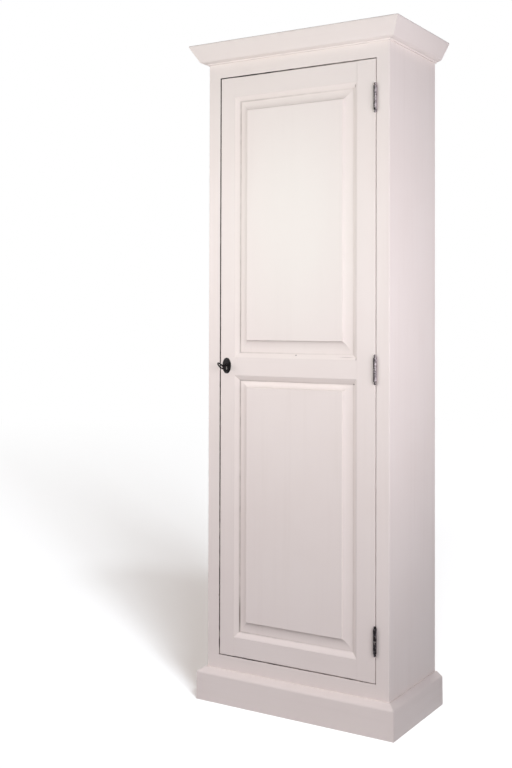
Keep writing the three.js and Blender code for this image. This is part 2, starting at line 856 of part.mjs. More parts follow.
function buildLock() {
  const body = block(lockX, [doorThickness, lockBackY], lockZ);
  const floor = doorThickness + lockCaseWall;
  const room = block(grow(lockX, -lockCaseWall), [floor, lockBackY + cutOverrun], grow(lockZ, -lockCaseWall));
  const boltSlot = block([lockX[0] - cutOverrun, keyX], grow(boltY, mortiseGap), grow(boltZ, mortiseGap));
  const screwHoles = lockScrewSpots().map((from) => screwHole(from, [0, -1, 0], lockScrewLength));
  const lockCase = cut(body, [room, boltSlot, ...keyholeCutters([doorThickness, floor]), ...screwHoles]);
  place('lock_case', lockCase, 'blackIron');
  const pivotHole = turned(
    [
      [0, coverY[0] - cutOverrun],
      [keyShankRadius + keyPivotClearance, coverY[0] - cutOverrun],
      [keyShankRadius + keyPivotClearance, coverY[1] + cutOverrun],
      [0, coverY[1] + cutOverrun],
    ],
    [keyX, 0, hardwareHeight],
    [0, 1, 0],
    roundSides,
  );
  place('lock_cover', cut(block(lockX, coverY, lockZ), [pivotHole, ...screwHoles]), 'blackIron');
  lockScrewSpots().forEach((from, i) => {
    place(`lock_screw_${i + 1}`, screw(from, [0, -1, 0], lockScrewLength), 'greySteel');
  });
  const notchX = [keyX + boltNotchStart, keyX + boltNotchStart + boltNotchWidth];
  const notch = block(notchX, grow(boltY, cutOverrun), [boltZ[1] - boltNotchDepth, boltZ[1] + cutOverrun]);
  place('lock_bolt', cut(block(boltX, boltY, boltZ), [notch]), 'greySteel');
}

const strikeX = [-openingHalf - strikeInset - strikeWidth, -openingHalf - strikeInset];
const strikeZ = grow([(boltZ[0] + boltZ[1]) / 2, (boltZ[0] + boltZ[1]) / 2], strikeHeight / 2);

function strikeScrewSpots() {
  const x = (strikeX[0] + strikeX[1]) / 2;
  return grow(strikeZ, -strikeScrewInset).map((z) => [x, frameThickness + strikeThickness, z]);
}

function strikeHoles() {
  return strikeScrewSpots().map((from) => screwHole(from, [0, -1, 0], strikeScrewLength));
}

function buildStrike() {
  const plate = block(strikeX, [frameThickness, frameThickness + strikeThickness], strikeZ);
  place('strike_plate', cut(plate, strikeHoles()), 'blackIron');
  strikeScrewSpots().forEach((from, i) => {
    place(`strike_screw_${i + 1}`, screw(from, [0, -1, 0], strikeScrewLength), 'greySteel');
  });
}

// Key: a ring bow, a collar, a round shank and a bit with one ward cut. It stands with
// its shank along Y and its bit down, and is turned about the shank at rest.
function buildKey() {
  const bowRadius = keyBowWidth / 2 - keyBowWire;
  const bow = new THREE.TorusGeometry(bowRadius, keyBowWire, smallRoundSides, ellipseSides)
    .rotateY(Math.PI / 2)
    .scale(1, keyBowLength / keyBowWidth, 1)
    .translate(0, -keyBowReach, 0);
  const bowEnd = -keyBowReach + keyBowLength / 2 - keyBowWire;
  const collarStart = bowEnd + keyCollarGap;
  const collarEnd = collarStart + keyCollarLength;
  const tip = coverY[0] + keyTipInCover;
  const shank = turned(
    [
      [0, bowEnd],
      [keyShankRadius - keyTipEase, bowEnd],
      [keyShankRadius - keyTipEase, collarStart],
      [keyCollarRadius, collarStart + keyTipEase],
      [keyCollarRadius, collarEnd - keyTipEase],
      [keyShankRadius, collarEnd],
      [keyShankRadius, tip - keyTipEase],
      [keyShankRadius - keyTipEase, tip],
      [0, tip],
    ],
    [0, 0, 0],
    [0, 1, 0],
    roundSides,
  );
  const halfBit = keyBitThickness / 2;
  const bitY = [keyBitStart, keyBitStart + keyBitLength];
  const bit = block([-halfBit, halfBit], bitY, [-keyBitRadius, 0]);
  const wardMiddle = (bitY[0] + bitY[1]) / 2;
  const ward = block(
    grow([-halfBit, halfBit], cutOverrun),
    grow([wardMiddle, wardMiddle], keyWardWidth / 2),
    [-keyBitRadius - cutOverrun, -keyBitRadius + keyWardDepth],
  );
  const key = place('key', cut(join([bow, shank, bit]), [ward]), 'blackIron', [keyX, 0, hardwareHeight]);
  key.rotation.y = keyRestTurn;
}

// Oval escutcheon with a bevelled rim and two pins
const pinDomeShare = 0.55;

function pinSpots() {
  const reach = escutcheonHeight / 2 - pinInset;
  return [-reach, reach].map((rise) => [keyX, -escutcheonThickness, hardwareHeight + rise]);
}

function pin(spot) {
  const profile = [
    [0, -pinHeadHeight],
    [pinHeadRadius * pinDomeShare, -pinHeadHeight],
    [pinHeadRadius, 0],
    [pinShankRadius, 0],
    [pinShankRadius, pinShankLength],
    [0, pinShankLength + pinShankRadius],
  ];
  return turned(profile, spot, [0, 1, 0], smallRoundSides);
}

function pinHole(spot) {
  const wide = pinShankRadius + pinClearance;
  const deep = pinShankLength + pinShankRadius + pinClearance;
  const profile = [[0, -cutOverrun], [wide, -cutOverrun], [wide, deep], [0, deep]];
  return turned(profile, spot, [0, 1, 0], smallRoundSides);
}

function buildEscutcheon() {
  const oval = (shrink, y) => Array.from({ length: ellipseSides }, (_, i) => {
    const angle = (i / ellipseSides) * 2 * Math.PI;
    const x = (escutcheonWidth / 2 - shrink) * Math.cos(angle);
    const z = (escutcheonHeight / 2 - shrink) * Math.sin(angle);
    return [keyX + x, y, hardwareHeight + z];
  });
  const rings = [oval(0, 0), oval(0, -escutcheonEdge), oval(escutcheonBevel, -escutcheonThickness)];
  const outline = rings[0].map(([x, , z]) => new THREE.Vector2(x, z));
  const holes = [...keyholeCutters([-escutcheonThickness, 0]), ...pinSpots().map((spot) => pinHole(spot))];
  place('escutcheon', cut(loft(rings, outline), holes), 'blackIron');
  pinSpots().forEach((spot, i) => {
    place(`escutcheon_pin_${i + 1}`, pin(spot), 'blackIron');
  });
}

// A rebated strip behind the frame's top rail that the door's top rail closes against.
function buildDoorStop() {
  const faceY = doorThickness + stopClearance;
  const backY = faceY + stopDepth;
  const half = stopLength / 2;
  const upper = block([-half, half], [frameThickness, backY], [openingTop, openingTop + stopRise]);
  const lip = block([-half, half], [faceY, backY], [openingTop - stopReach, openingTop + cutOverrun]);
  place('door_stop', join([upper, lip]), 'bareWood');
}

wrapRound('cornice', corniceProfile());
wrapRound('plinth', plinthProfile());
buildSides();
buildBack();
buildBoards();
buildFrame();
buildShelves();
buildDoorFrame();
buildPanels();
buildHinges();
buildLock();
buildStrike();
buildKey();
buildEscutcheon();
buildDoorStop();

export default cupboard;
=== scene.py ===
# %% [markdown]
# # A tall cupboard with one door, painted cream
#
# The CAD model gives this cupboard its sizes, its joints and the place of every part.
# Here each part is made again as a finer surface, painted, lit and photographed. We start
# by loading the CAD frame, which stays where it is: every new piece is fitted to it.

# %% Load the CAD frame
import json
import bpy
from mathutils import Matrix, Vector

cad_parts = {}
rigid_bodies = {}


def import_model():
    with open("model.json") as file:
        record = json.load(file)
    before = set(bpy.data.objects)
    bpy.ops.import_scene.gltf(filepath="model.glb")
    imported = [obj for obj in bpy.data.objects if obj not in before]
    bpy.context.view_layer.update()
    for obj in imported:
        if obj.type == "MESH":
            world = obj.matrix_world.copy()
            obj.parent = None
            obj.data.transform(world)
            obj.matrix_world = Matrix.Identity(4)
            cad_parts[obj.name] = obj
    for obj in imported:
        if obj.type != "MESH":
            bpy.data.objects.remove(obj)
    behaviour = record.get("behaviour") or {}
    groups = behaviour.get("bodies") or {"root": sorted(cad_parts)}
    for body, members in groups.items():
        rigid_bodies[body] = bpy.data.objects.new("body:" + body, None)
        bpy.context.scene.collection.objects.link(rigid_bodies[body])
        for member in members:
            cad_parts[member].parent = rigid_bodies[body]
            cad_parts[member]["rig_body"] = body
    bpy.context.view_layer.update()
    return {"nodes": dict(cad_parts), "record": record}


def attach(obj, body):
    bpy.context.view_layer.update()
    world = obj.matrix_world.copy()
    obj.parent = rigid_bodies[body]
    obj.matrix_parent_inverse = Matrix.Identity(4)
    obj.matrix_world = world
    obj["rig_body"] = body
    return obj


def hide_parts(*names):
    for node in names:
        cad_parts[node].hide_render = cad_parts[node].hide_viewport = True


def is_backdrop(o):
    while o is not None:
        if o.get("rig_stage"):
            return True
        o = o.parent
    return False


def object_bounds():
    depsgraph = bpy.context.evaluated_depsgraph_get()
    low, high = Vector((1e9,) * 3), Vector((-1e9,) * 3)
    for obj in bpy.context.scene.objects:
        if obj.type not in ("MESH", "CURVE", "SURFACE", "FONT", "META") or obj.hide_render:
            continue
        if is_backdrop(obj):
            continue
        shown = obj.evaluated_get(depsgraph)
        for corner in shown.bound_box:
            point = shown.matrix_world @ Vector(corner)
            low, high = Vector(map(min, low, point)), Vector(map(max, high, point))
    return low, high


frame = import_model()

# %% [markdown]
# At the end the box of the dressed cupboard, everything that shows, is printed in metres.


def box_as_lists():
    """The lowest and the highest corner of everything that shows, in metres."""
    low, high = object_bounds()
    return [list(low), list(high)]


body_of_node = {name: node["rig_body"] for name, node in frame["nodes"].items()}
slot_of_node = {part["node"]: part["material_slot"] for part in frame["record"]["subparts"]}
print("CAD nodes:", len(frame["nodes"]))

# %% [markdown]
# ## The camera
#
# The photograph was taken from the front right, a little over three metres away and a
# little above the keyhole. A camera is a place, a direction and a lens. The direction is
# worked out from three angles, and a small downward shift of the lens takes in the foot of
# the cupboard without tilting the camera down, so upright edges stay upright.

# %% Set up the camera
import bpy
import numpy as np
from math import pi, radians
from mathutils import Matrix


def stand(right, up, back, place):
    """The matrix that turns an object's x, y and z to right, up and back and puts it at place."""
    axes = np.eye(4)
    axes[:3] = np.stack([right, up, back, place], -1)
    return Matrix(axes.tolist())


bpy.context.scene.view_settings.view_transform = "Standard"
turn, tilt, roll = radians(31.70), radians(0.87), radians(0.15)
forward = np.array([-np.sin(turn) * np.cos(tilt), np.cos(turn) * np.cos(tilt), np.sin(tilt)])
level = np.array([np.cos(turn), np.sin(turn), 0])
upward = np.cross(level, forward)
camera_right = np.cos(roll) * level + np.sin(roll) * upward
camera_up = np.cos(roll) * upward - np.sin(roll) * level
camera_place = np.array([1.5834, -2.9215, 1.1559])
camera = bpy.data.objects.new("camera", bpy.data.cameras.new("camera"))
bpy.context.scene.collection.objects.link(camera)
camera.matrix_world = stand(camera_right, camera_up, -forward, camera_place)
camera.data.sensor_width = 36
camera.data.lens = 51.06
camera.data.shift_y = -0.104
bpy.context.scene.camera = camera
print("camera stands", round(float(np.hypot(*camera_place[:2])), 2), "m from the cupboard's middle")

# %% [markdown]
# ## Tools for making surfaces
#
# All sizes below are in millimetres from the face of the carcass, as a cabinet maker would
# measure them. Blender works in metres and in the CAD's frame, so one helper turns the one
# into the other. A surface is a grid of points: rows run along the piece and columns run
# round its section. One helper numbers the faces of such a grid and closes its two ends.

# %% Helpers for grids of points
FACE_OF_CARCASS = -141.5


def in_metres(points):
    """Moves millimetres from the carcass face into the CAD's frame, then divides by 1000."""
    return (np.asarray(points, float) + (0, FACE_OF_CARCASS, 0)) / 1000


def in_millimetres(points):
    """The way back: metres in the CAD's frame to millimetres from the carcass face."""
    return points * 1000 - (0, FACE_OF_CARCASS, 0)


def shell(rings, closed_rows=False):
    """Faces between neighbouring rings of points, with both end rings filled in.

    Point k of ring i has the number i * columns + k, and the last column joins the first.
    With closed_rows the last ring joins the first as well, as on a doughnut.
    """
    rings = np.asarray(rings, float)
    rows, columns = rings.shape[:2]
    starts = np.arange(rows if closed_rows else rows - 1)
    row, column = np.meshgrid(starts, np.arange(columns), indexing="ij")
    beside = (column + 1) % columns
    above = (row + 1) % rows
    corners = [row * columns + column, row * columns + beside,
               above * columns + beside, above * columns + column]
    faces = np.stack(corners, -1).reshape(-1, 4).tolist()
    if not closed_rows:
        faces.append(list(range(columns))[::-1])
        faces.append(list(range((rows - 1) * columns, rows * columns)))
    return rings.reshape(-1, 3), faces


def along_axis(section, places, axis):
    """Puts each ring's two section columns and its place along the chosen axis into x, y, z."""
    rows, columns = section.shape[:2]
    points = np.empty((rows, columns, 3))
    others = [k for k in range(3) if k != axis]
    points[..., others[0]] = section[..., 0]
    points[..., others[1]] = section[..., 1]
    points[..., axis] = np.asarray(places, float)[:, None]
    return points


quarter_turn = np.linspace(0, pi / 2, 5)
quarter_circle = np.stack([np.cos(quarter_turn), np.sin(quarter_turn)], -1)
print("a quarter round has", len(quarter_turn) - 1, "steps")

# %% [markdown]
# Every piece goes through the same finishing step: its shells become one mesh, doubled
# points are merged, faces are turned outwards, and only real corners stay sharp. The piece
# then rides on the CAD body it belongs to and stands in for its CAD part. A function may
# also give each point a number for the paint, such as how much painted shade darkens it there.

# %% Helpers that finish a piece
import bmesh

TINY = 1e-6
pieces = {}


def stand_in(node, mesh):
    """Shows a mesh in place of a CAD node, on the body that the node rides on."""
    piece = bpy.data.objects.new("finished_" + node, mesh)
    bpy.context.scene.collection.objects.link(piece)
    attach(piece, body_of_node[node])
    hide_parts(node)
    pieces[node] = piece
    return piece


def finish_piece(node, shells, crease=28, darkening=None):
    """Joins shells into one mesh that replaces a CAD node; edges over the crease stay sharp."""
    mesh = bpy.data.meshes.new("finished_" + node)
    points, faces, start = [], [], 0
    for shell_points, shell_faces in shells:
        points.append(shell_points)
        faces += [[start + corner for corner in face] for face in shell_faces]
        start += len(shell_points)
    mesh.from_pydata(in_metres(np.concatenate(points)), [], faces)
    solid = bmesh.new()
    solid.from_mesh(mesh)
    bmesh.ops.remove_doubles(solid, verts=solid.verts, dist=2 * TINY)
    bmesh.ops.dissolve_degenerate(solid, edges=solid.edges, dist=TINY)
    bmesh.ops.recalc_face_normals(solid, faces=solid.faces)
    solid.to_mesh(mesh)
    solid.free()
    mesh.shade_smooth()
    mesh.set_sharp_from_angle(angle=radians(crease))
    flat_list = np.empty(len(mesh.vertices) * 3)
    mesh.vertices.foreach_get("co", flat_list)
    place = in_millimetres(flat_list.reshape(-1, 3))
    darkening_amount = np.zeros(len(place)) if darkening is None else np.clip(darkening(place), 0, 1)
    mesh.attributes.new("darkening", "FLOAT", "POINT").data.foreach_set("value", darkening_amount)
    stand_in(node, mesh)


print("bodies that pieces ride on:", sorted(set(body_of_node.values())))

# %% [markdown]
# ## Boards
#
# The sides, shelves, battens and the top and bottom boards are plain boards with edges
# softened by a plane. A cube with a bevel would do, but working the section out lets us say
# how soft each edge is: the section is a rectangle with rounded corners, carried along the
# board, and the last rings shrink in a quarter round so that the ends are soft too.

# %% Make a board with softened edges
FLAT_STEP = 0.6


def soft_rectangle(half_width, half_depth, ease):
    """A rectangle whose corners are quarter circles: corner centre plus ease * (cos, sin).

    A short flat step beside each quarter circle keeps the flat sides flat in the light.
    """
    turns = np.arange(4)[:, None] * pi / 2
    angle = turns + quarter_turn
    side_x, side_y = np.array([1, -1, -1, 1])[:, None], np.array([1, 1, -1, -1])[:, None]
    x = side_x * (half_width - ease) + ease * np.cos(angle)
    y = side_y * (half_depth - ease) + ease * np.sin(angle)
    step_x, step_y = FLAT_STEP * np.sin(turns), FLAT_STEP * np.cos(turns)
    lead = np.concatenate([x[:, :1] + step_x, x, x[:, -1:] - step_y], 1)
    rise = np.concatenate([y[:, :1] - step_y, y, y[:, -1:] - step_x], 1)
    return np.stack([lead.ravel(), rise.ravel()], -1)


def board(low, high, ease=1.0, axis=2):
    """A board between two corners, with its length along the axis and all its edges eased."""
    low, high = np.array(low, float), np.array(high, float)
    others = [k for k in range(3) if k != axis]
    half = (high - low)[others] / 2
    outline = soft_rectangle(half[0], half[1], ease)
    inset = np.concatenate([[ease + FLAT_STEP], ease * (1 - np.sin(quarter_turn)), [0]])
    travel = np.concatenate([[0], ease * (1 - np.cos(quarter_turn)), [ease + FLAT_STEP]])
    inset = np.concatenate([inset, inset[::-1]])
    places = np.concatenate([low[axis] + travel, high[axis] - travel[::-1]])
    rings = outline[None] - np.sign(outline)[None] * inset[:, None, None]
    return shell(along_axis(rings + (low + high)[others] / 2, places, axis))


def extrude(outline, start, end, axis=2):
    """A flat outline carried straight from start to end along the axis."""
    outline = np.asarray(outline, float)
    return shell(along_axis(np.stack([outline, outline]), [start, end], axis))


print("a flat step of", FLAT_STEP, "mm lies beside each softened edge")

# %% [markdown]
# The carcass has two sides, a top and a bottom, and three shelves that divide it into four
# equal rooms. Each shelf lies loose on two battens, half a millimetre clear of the sides.
# All of them are the same kind of board, so two opposite corners and an axis say enough.

# %% Make the carcass boards
CARCASS_HALF, INNER_HALF, CARCASS_DEPTH, BACK_FACE = 304, 284, 329, 317
HEIGHT, THICKNESS, FRAME_DEPTH, FLOOR_BOARD_TOP = 2000, 18, 22, 139.5
CEILING, FLOOR_BOARD_LOW = HEIGHT - THICKNESS, FLOOR_BOARD_TOP - THICKNESS
SHELF_FRONT, SHELF_CLEAR, BATTEN_SIZE, BATTEN_FRONT, BATTEN_BACK = 45, 0.5, 20, 60, 300

for side, name in ((-1, "side_left"), (1, "side_right")):
    across = sorted([side * INNER_HALF, side * CARCASS_HALF])
    side_board = board([across[0], FRAME_DEPTH, 0], [across[1], CARCASS_DEPTH, CEILING], 0.5)
    finish_piece(name, [side_board])
bottom_board = board([-INNER_HALF, FRAME_DEPTH, FLOOR_BOARD_LOW],
                     [INNER_HALF, BACK_FACE, FLOOR_BOARD_TOP], 0.6, 0)
finish_piece("bottom_board", [bottom_board])
top_board = board([-CARCASS_HALF, 0, CEILING], [CARCASS_HALF, CARCASS_DEPTH, HEIGHT], 0.5, 0)
finish_piece("top_board", [top_board])
shelf_tops = np.linspace(FLOOR_BOARD_TOP, HEIGHT, 5)[1:4]
shelf_half, shelf_back = INNER_HALF - SHELF_CLEAR, BACK_FACE - SHELF_CLEAR
for number, top in enumerate(shelf_tops, 1):
    under = top - THICKNESS
    shelf = board([-shelf_half, SHELF_FRONT, under], [shelf_half, shelf_back, top], 1.6, 0)
    finish_piece(f"shelf_{number}", [shelf])
    for side, word in ((-1, "left"), (1, "right")):
        across = sorted([side * (INNER_HALF - BATTEN_SIZE), side * INNER_HALF])
        batten = board([across[0], BATTEN_FRONT, under - BATTEN_SIZE],
                       [across[1], BATTEN_BACK, under], 1.5, 1)
        finish_piece(f"shelf_batten_{number}_{word}", [batten])
print("boards made:", len(pieces), "with shelves at", shelf_tops)

# %% [markdown]
# ## The back
#
# Four upright planks close the back. Each has a tongue on one edge that slips into a groove
# in its neighbour, so the wood can shrink without opening a gap. Their outlines, seen from
# above, are carried up the back, with a small chamfer along each joint as planks have. The
# door stop is a small lipped bar behind the top of the opening, made the same way.

# %% Make the back planks and the door stop
PLANK_COUNT, PLANK_GAP = 4, 0.15
OPENING_HALF, OPENING_TOP, DOOR_DEPTH = 263, 1899, 24
STOP_HALF, STOP_BACK = 150, 42.4


def plank_outline(left, right, has_groove, has_tongue):
    """Seen from above: a chamfered rectangle with a tongue, and a groove a little wider."""
    chamfer, tongue_half, reach, slack = 1.2, 2, 6, 0.4
    middle = (BACK_FACE + CARCASS_DEPTH) / 2
    front, rear = middle - tongue_half, middle + tongue_half
    floor_of_groove = left + reach + slack
    groove = [(left, rear + slack), (floor_of_groove, rear + slack),
              (floor_of_groove, front - slack), (left, front - slack)]
    tongue = [(right, front), (right + reach, front), (right + reach, rear), (right, rear)]
    inner = [(left, BACK_FACE + chamfer), (left + chamfer, BACK_FACE),
             (right - chamfer, BACK_FACE), (right, BACK_FACE + chamfer)]
    outer = [(right, CARCASS_DEPTH - chamfer), (right - chamfer, CARCASS_DEPTH),
             (left + chamfer, CARCASS_DEPTH), (left, CARCASS_DEPTH - chamfer)]
    return inner + (tongue if has_tongue else []) + outer + (groove if has_groove else [])


plank_width = 2 * INNER_HALF / PLANK_COUNT
for number in range(PLANK_COUNT):
    left = -INNER_HALF + plank_width * number
    outline = plank_outline(left + PLANK_GAP, left + plank_width - PLANK_GAP,
                            number > 0, number < PLANK_COUNT - 1)
    finish_piece(f"back_plank_{number + 1}", [extrude(outline, FLOOR_BOARD_LOW, CEILING)])
stop_front, stop_low, stop_high, ease = DOOR_DEPTH + 0.4, OPENING_TOP - 12, OPENING_TOP + 26, 1
stop_outline = [(FRAME_DEPTH, stop_high), (FRAME_DEPTH, OPENING_TOP), (stop_front, OPENING_TOP),
                (stop_front, stop_low + ease), (stop_front + ease, stop_low),
                (STOP_BACK - ease, stop_low), (STOP_BACK, stop_low + ease),
                (STOP_BACK, stop_high - ease), (STOP_BACK - ease, stop_high)]
finish_piece("door_stop", [extrude(stop_outline, -STOP_HALF, STOP_HALF, 0)])
print("planks and stop made; pieces so far:", len(pieces))

# %% [markdown]
# ## Cornice and plinth
#
# Both mouldings wrap round the front and the sides and are mitred at the corners. On the
# real cupboard a moulding plane cuts one profile along a whole length. Here the profile is
# a list of points, how far out and how high, and each run carries it from end to end. At a
# mitre, a point that stands further out also travels further along, which gives 45 degrees.

# %% Make the cornice and the plinth
CORNICE_FOOT, CORNICE_REACH, PLINTH_REACH, PLINTH_TOP = 1943, 46, 25, 97


def bend(start, pull, end, steps=14):
    """A quadratic curve: (1-t)^2 start + 2t(1-t) pull + t^2 end, for t from 0 to 1."""
    t = np.linspace(0, 1, steps + 1)[:, None]
    return (1 - t) ** 2 * np.array(start) + 2 * t * (1 - t) * np.array(pull) + t ** 2 * np.array(end)


def front_run(profile, gap=0.08):
    """The run across the front: each end is at the carcass half width plus the projection.

    A hair's gap at the mitres keeps the front run clear of the side runs.
    """
    out, height = profile[:, 0], profile[:, 1]
    reach = CARCASS_HALF + out - gap
    ends = [np.stack([side * reach, -out, height], -1) for side in (-1, 1)]
    return shell(np.stack(ends))


def side_run(profile, side):
    """The run along one side: mitred in front, square at the back."""
    out, height = profile[:, 0], profile[:, 1]
    across = side * (CARCASS_HALF + out)
    front = np.stack([across, -out, height], -1)
    back = np.stack([across, np.full_like(out, CARCASS_DEPTH), height], -1)
    return shell(np.stack([front, back]))


cornice_height, cornice_ease = HEIGHT - CORNICE_FOOT, 1.2
cornice_profile = (0, CORNICE_FOOT) + np.concatenate([
    [(0, 0), (3.4, 0)],
    bend((4, 0), (6.6, 0), (6.6, 2.6), 6),
    bend((7.0, 3.2), (14.5, 3.8), (21, 7.9), 10),
    [(21.6, 8.87), (CORNICE_REACH - 0.4, 51.4), (CORNICE_REACH, 52.4), (CORNICE_REACH, 55.2)],
    (CORNICE_REACH - cornice_ease, cornice_height - cornice_ease) + cornice_ease * quarter_circle,
    [(44.2, cornice_height), (0, cornice_height)],
])
plinth_profile = np.concatenate([
    [(0, 0), (PLINTH_REACH, 0), (PLINTH_REACH, 0.6), (24.06, 78.4)],
    bend((24.04, 79), (23.9, 83.6), (20.8, 86.2), 8),
    [(20.3, 86.6), (7.3, 96.2)],
    bend((6.8, 96.6), (6.2, PLINTH_TOP), (5.4, PLINTH_TOP), 4),
    [(4.8, PLINTH_TOP), (0, PLINTH_TOP)],
])


def darker_top_edge(place):
    """A darker grey line along the cornice's very top edge."""
    return 0.4 * (place[:, 2] > HEIGHT - 1.4)


for name, profile in (("cornice", cornice_profile), ("plinth", plinth_profile)):
    finish_piece(name + "_front", [front_run(profile)], 24, darker_top_edge)
    finish_piece(name + "_left", [side_run(profile, -1)], 24, darker_top_edge)
    finish_piece(name + "_right", [side_run(profile, 1)], 24, darker_top_edge)
    print(name, "profile has", len(profile), "points")

# %% [markdown]
# ## Frame members
#
# The stiles and rails of the door and of the face frame are all the same kind of thing: a
# section walked once round at every row along the member. A plain side has soft arrises,
# and a pocket where a hinge leaf is let in. A moulded side has a small step, a rounded
# moulding and a groove for the panel. Near a corner the moulding is cut short at 45
# degrees, so a point never goes further in than the row is along from the corner.

# %% Make the sides of a frame member
HEEL_EASE, LEAF_THICKNESS, LEAF_DEPTH, LEAF_SLACK = 0.8, 2, 20, 0.3
MOULDING_WIDTH, MOULDING_DEPTH, MOULDING_STEP = 15, 10, 0.6
GROOVE_FRONT, GROOVE_BACK, GROOVE_FLOOR = 11.7, 18.3, 5
moulding_curve = bend((0, MOULDING_STEP), (7.2, 4.0), (MOULDING_WIDTH, MOULDING_DEPTH))
MITRE_STEPS = np.concatenate([[MOULDING_STEP / 2], moulding_curve[1:, 0]])


def plain_side(edge, inward, rows, back, in_pocket=None, ease=1.5):
    """Front to back: a quarter round at the front arris, the edge, a smaller one behind.

    In rows that are in a pocket, the points in front of its depth move in by a leaf's room.
    """
    start = [edge + inward * (ease + FLAT_STEP)]
    arris = edge + inward * ease * (1 - np.sin(quarter_turn))
    heel = edge + inward * HEEL_EASE * (1 - np.cos(quarter_turn))
    across = np.concatenate([start, arris, [edge, edge], heel, [edge + inward * (HEEL_EASE + FLAT_STEP)]])
    front = ease * (1 - np.cos(quarter_turn))
    pocket_depth = LEAF_DEPTH + LEAF_SLACK
    rear = back - HEEL_EASE * (1 - np.sin(quarter_turn))
    deep = np.concatenate([[0], front, [pocket_depth, pocket_depth], rear, [back]])
    across = np.tile(across, (len(rows), 1))
    if in_pocket is not None:
        in_front = np.arange(across.shape[1]) < len(start) + len(arris) + 1
        leaf_room = edge + inward * np.maximum(inward * (across - edge), LEAF_THICKNESS + LEAF_SLACK)
        across = np.where(np.asarray(in_pocket)[:, None] & in_front[None], leaf_room, across)
    return np.stack([across, np.broadcast_to(deep, across.shape)], -1)


def moulded_side(flat, inward, room):
    """Front to back: flat, step, moulding, lip, groove, back; room is the way from the corner."""
    groove = [MOULDING_WIDTH, GROOVE_FLOOR, GROOVE_FLOOR, MOULDING_WIDTH]
    heel = MOULDING_WIDTH - HEEL_EASE * (1 - np.cos(quarter_turn))
    step_in = np.concatenate([[-2.1, -0.3, 0, 0], moulding_curve[1:, 0], groove, heel,
                              [MOULDING_WIDTH - HEEL_EASE - FLAT_STEP]])
    groove_walls = [GROOVE_FRONT, GROOVE_FRONT, GROOVE_BACK, GROOVE_BACK]
    rear = DOOR_DEPTH - HEEL_EASE * (1 - np.sin(quarter_turn))
    deep = np.concatenate([[0, 0, MOULDING_STEP / 2, MOULDING_STEP], moulding_curve[1:, 1],
                           groove_walls, rear, [DOOR_DEPTH]])
    room = np.maximum(np.asarray(room, float), 0)[:, None]
    across = flat + inward * np.where(step_in > 0, np.minimum(step_in, room), step_in)
    return np.stack([across, np.broadcast_to(deep, across.shape)], -1)


def member(side_a, side_b, rows, upright):
    """One closed section per row: side a from back to front, then side b from front to back."""
    section = np.concatenate([side_a[:, ::-1], side_b], 1)
    if upright:
        return shell(along_axis(section, rows, 2))
    return shell(along_axis(section[..., ::-1], rows, 0))


print("moulding:", len(moulding_curve), "points across", MOULDING_WIDTH, "mm")

# %% [markdown]
# ## The face frame
#
# Two stiles and two rails frame the door opening. The outer corners of the stiles are
# rounded only slightly, and the hinge stile has a pocket for each hinge. The shade deep in
# the gap round a door is painted onto the faces of the opening, so they are told where
# they are dark: it would be hard to paint by hand, but it is a short sum on each point.

# %% Make the face frame
HINGE_HEIGHTS, LEAF_HALF = [260.5, 1019.0, 1785.0], 34.1
CORNER_EASE, FRAME_FOOT, RAIL_TUCK = 1.6, 45, 1.5


def rows_with_pockets(rows):
    """Adds two rows at both ends of each hinge pocket, a hair apart, and says which are inside."""
    ends = np.array(HINGE_HEIGHTS)[:, None] + np.array([-1, 1]) * (LEAF_HALF + LEAF_SLACK)
    rows = np.sort(np.concatenate([rows, (ends - TINY).ravel(), (ends + TINY).ravel()]))
    inside = ((rows[:, None] > ends[:, 0]) & (rows[:, None] < ends[:, 1])).any(1)
    return rows, inside


def rounded_corner(edge, inward, rows):
    """The outer corner of a stile: a small curve, then straight to the back."""
    curve = bend((CORNER_EASE, 0), (0, 0), (0, CORNER_EASE))
    flat = CORNER_EASE + FLAT_STEP
    across = edge + inward * np.concatenate([[flat], curve[:, 0], [0, 0]])
    deep = np.concatenate([[0], curve[:, 1], [flat, FRAME_DEPTH]])
    return np.tile(np.stack([across, deep], -1), (len(rows), 1, 1))


def painted_gap_shade(place):
    """Painted shade round the opening: strongest just inside, less on the sill and the hinge side."""
    x, y, z = place.T
    from_sides = np.abs(np.abs(x) - OPENING_HALF)
    from_ends = np.minimum(np.abs(z - OPENING_TOP), np.abs(z - FLOOR_BOARD_TOP))
    round_opening = (np.minimum(from_sides, from_ends) < 0.9) * np.clip((y - 0.1) / 0.5, 0, 1)
    share = np.where(x > OPENING_HALF - 1, 0.42, np.where(z < 200, 0.62, 1))
    return round_opening * np.interp(y, [1.5, FRAME_DEPTH], [1.0, 0.35]) * share


plain_rows = np.array([0.0, CEILING])
left_stile = member(rounded_corner(-CARCASS_HALF, 1, plain_rows),
                    plain_side(-OPENING_HALF, -1, plain_rows, FRAME_DEPTH), plain_rows, True)
finish_piece("frame_stile_left", [left_stile], darkening=painted_gap_shade)
pocket_rows, in_pocket = rows_with_pockets(plain_rows)
right_stile = member(plain_side(OPENING_HALF, 1, pocket_rows, FRAME_DEPTH, in_pocket),
                     rounded_corner(CARCASS_HALF, -1, pocket_rows), pocket_rows, True)
finish_piece("frame_stile_right", [right_stile], darkening=painted_gap_shade)
rail_ends = np.array([-1, 1]) * (OPENING_HALF + RAIL_TUCK)
for name, low, high in (("top", OPENING_TOP, CEILING), ("bottom", FRAME_FOOT, FLOOR_BOARD_TOP)):
    rail = member(plain_side(low, 1, rail_ends, FRAME_DEPTH),
                  plain_side(high, -1, rail_ends, FRAME_DEPTH), rail_ends, False)
    finish_piece("frame_rail_" + name, [rail], darkening=painted_gap_shade)
print("face frame made; pieces so far:", len(pieces))
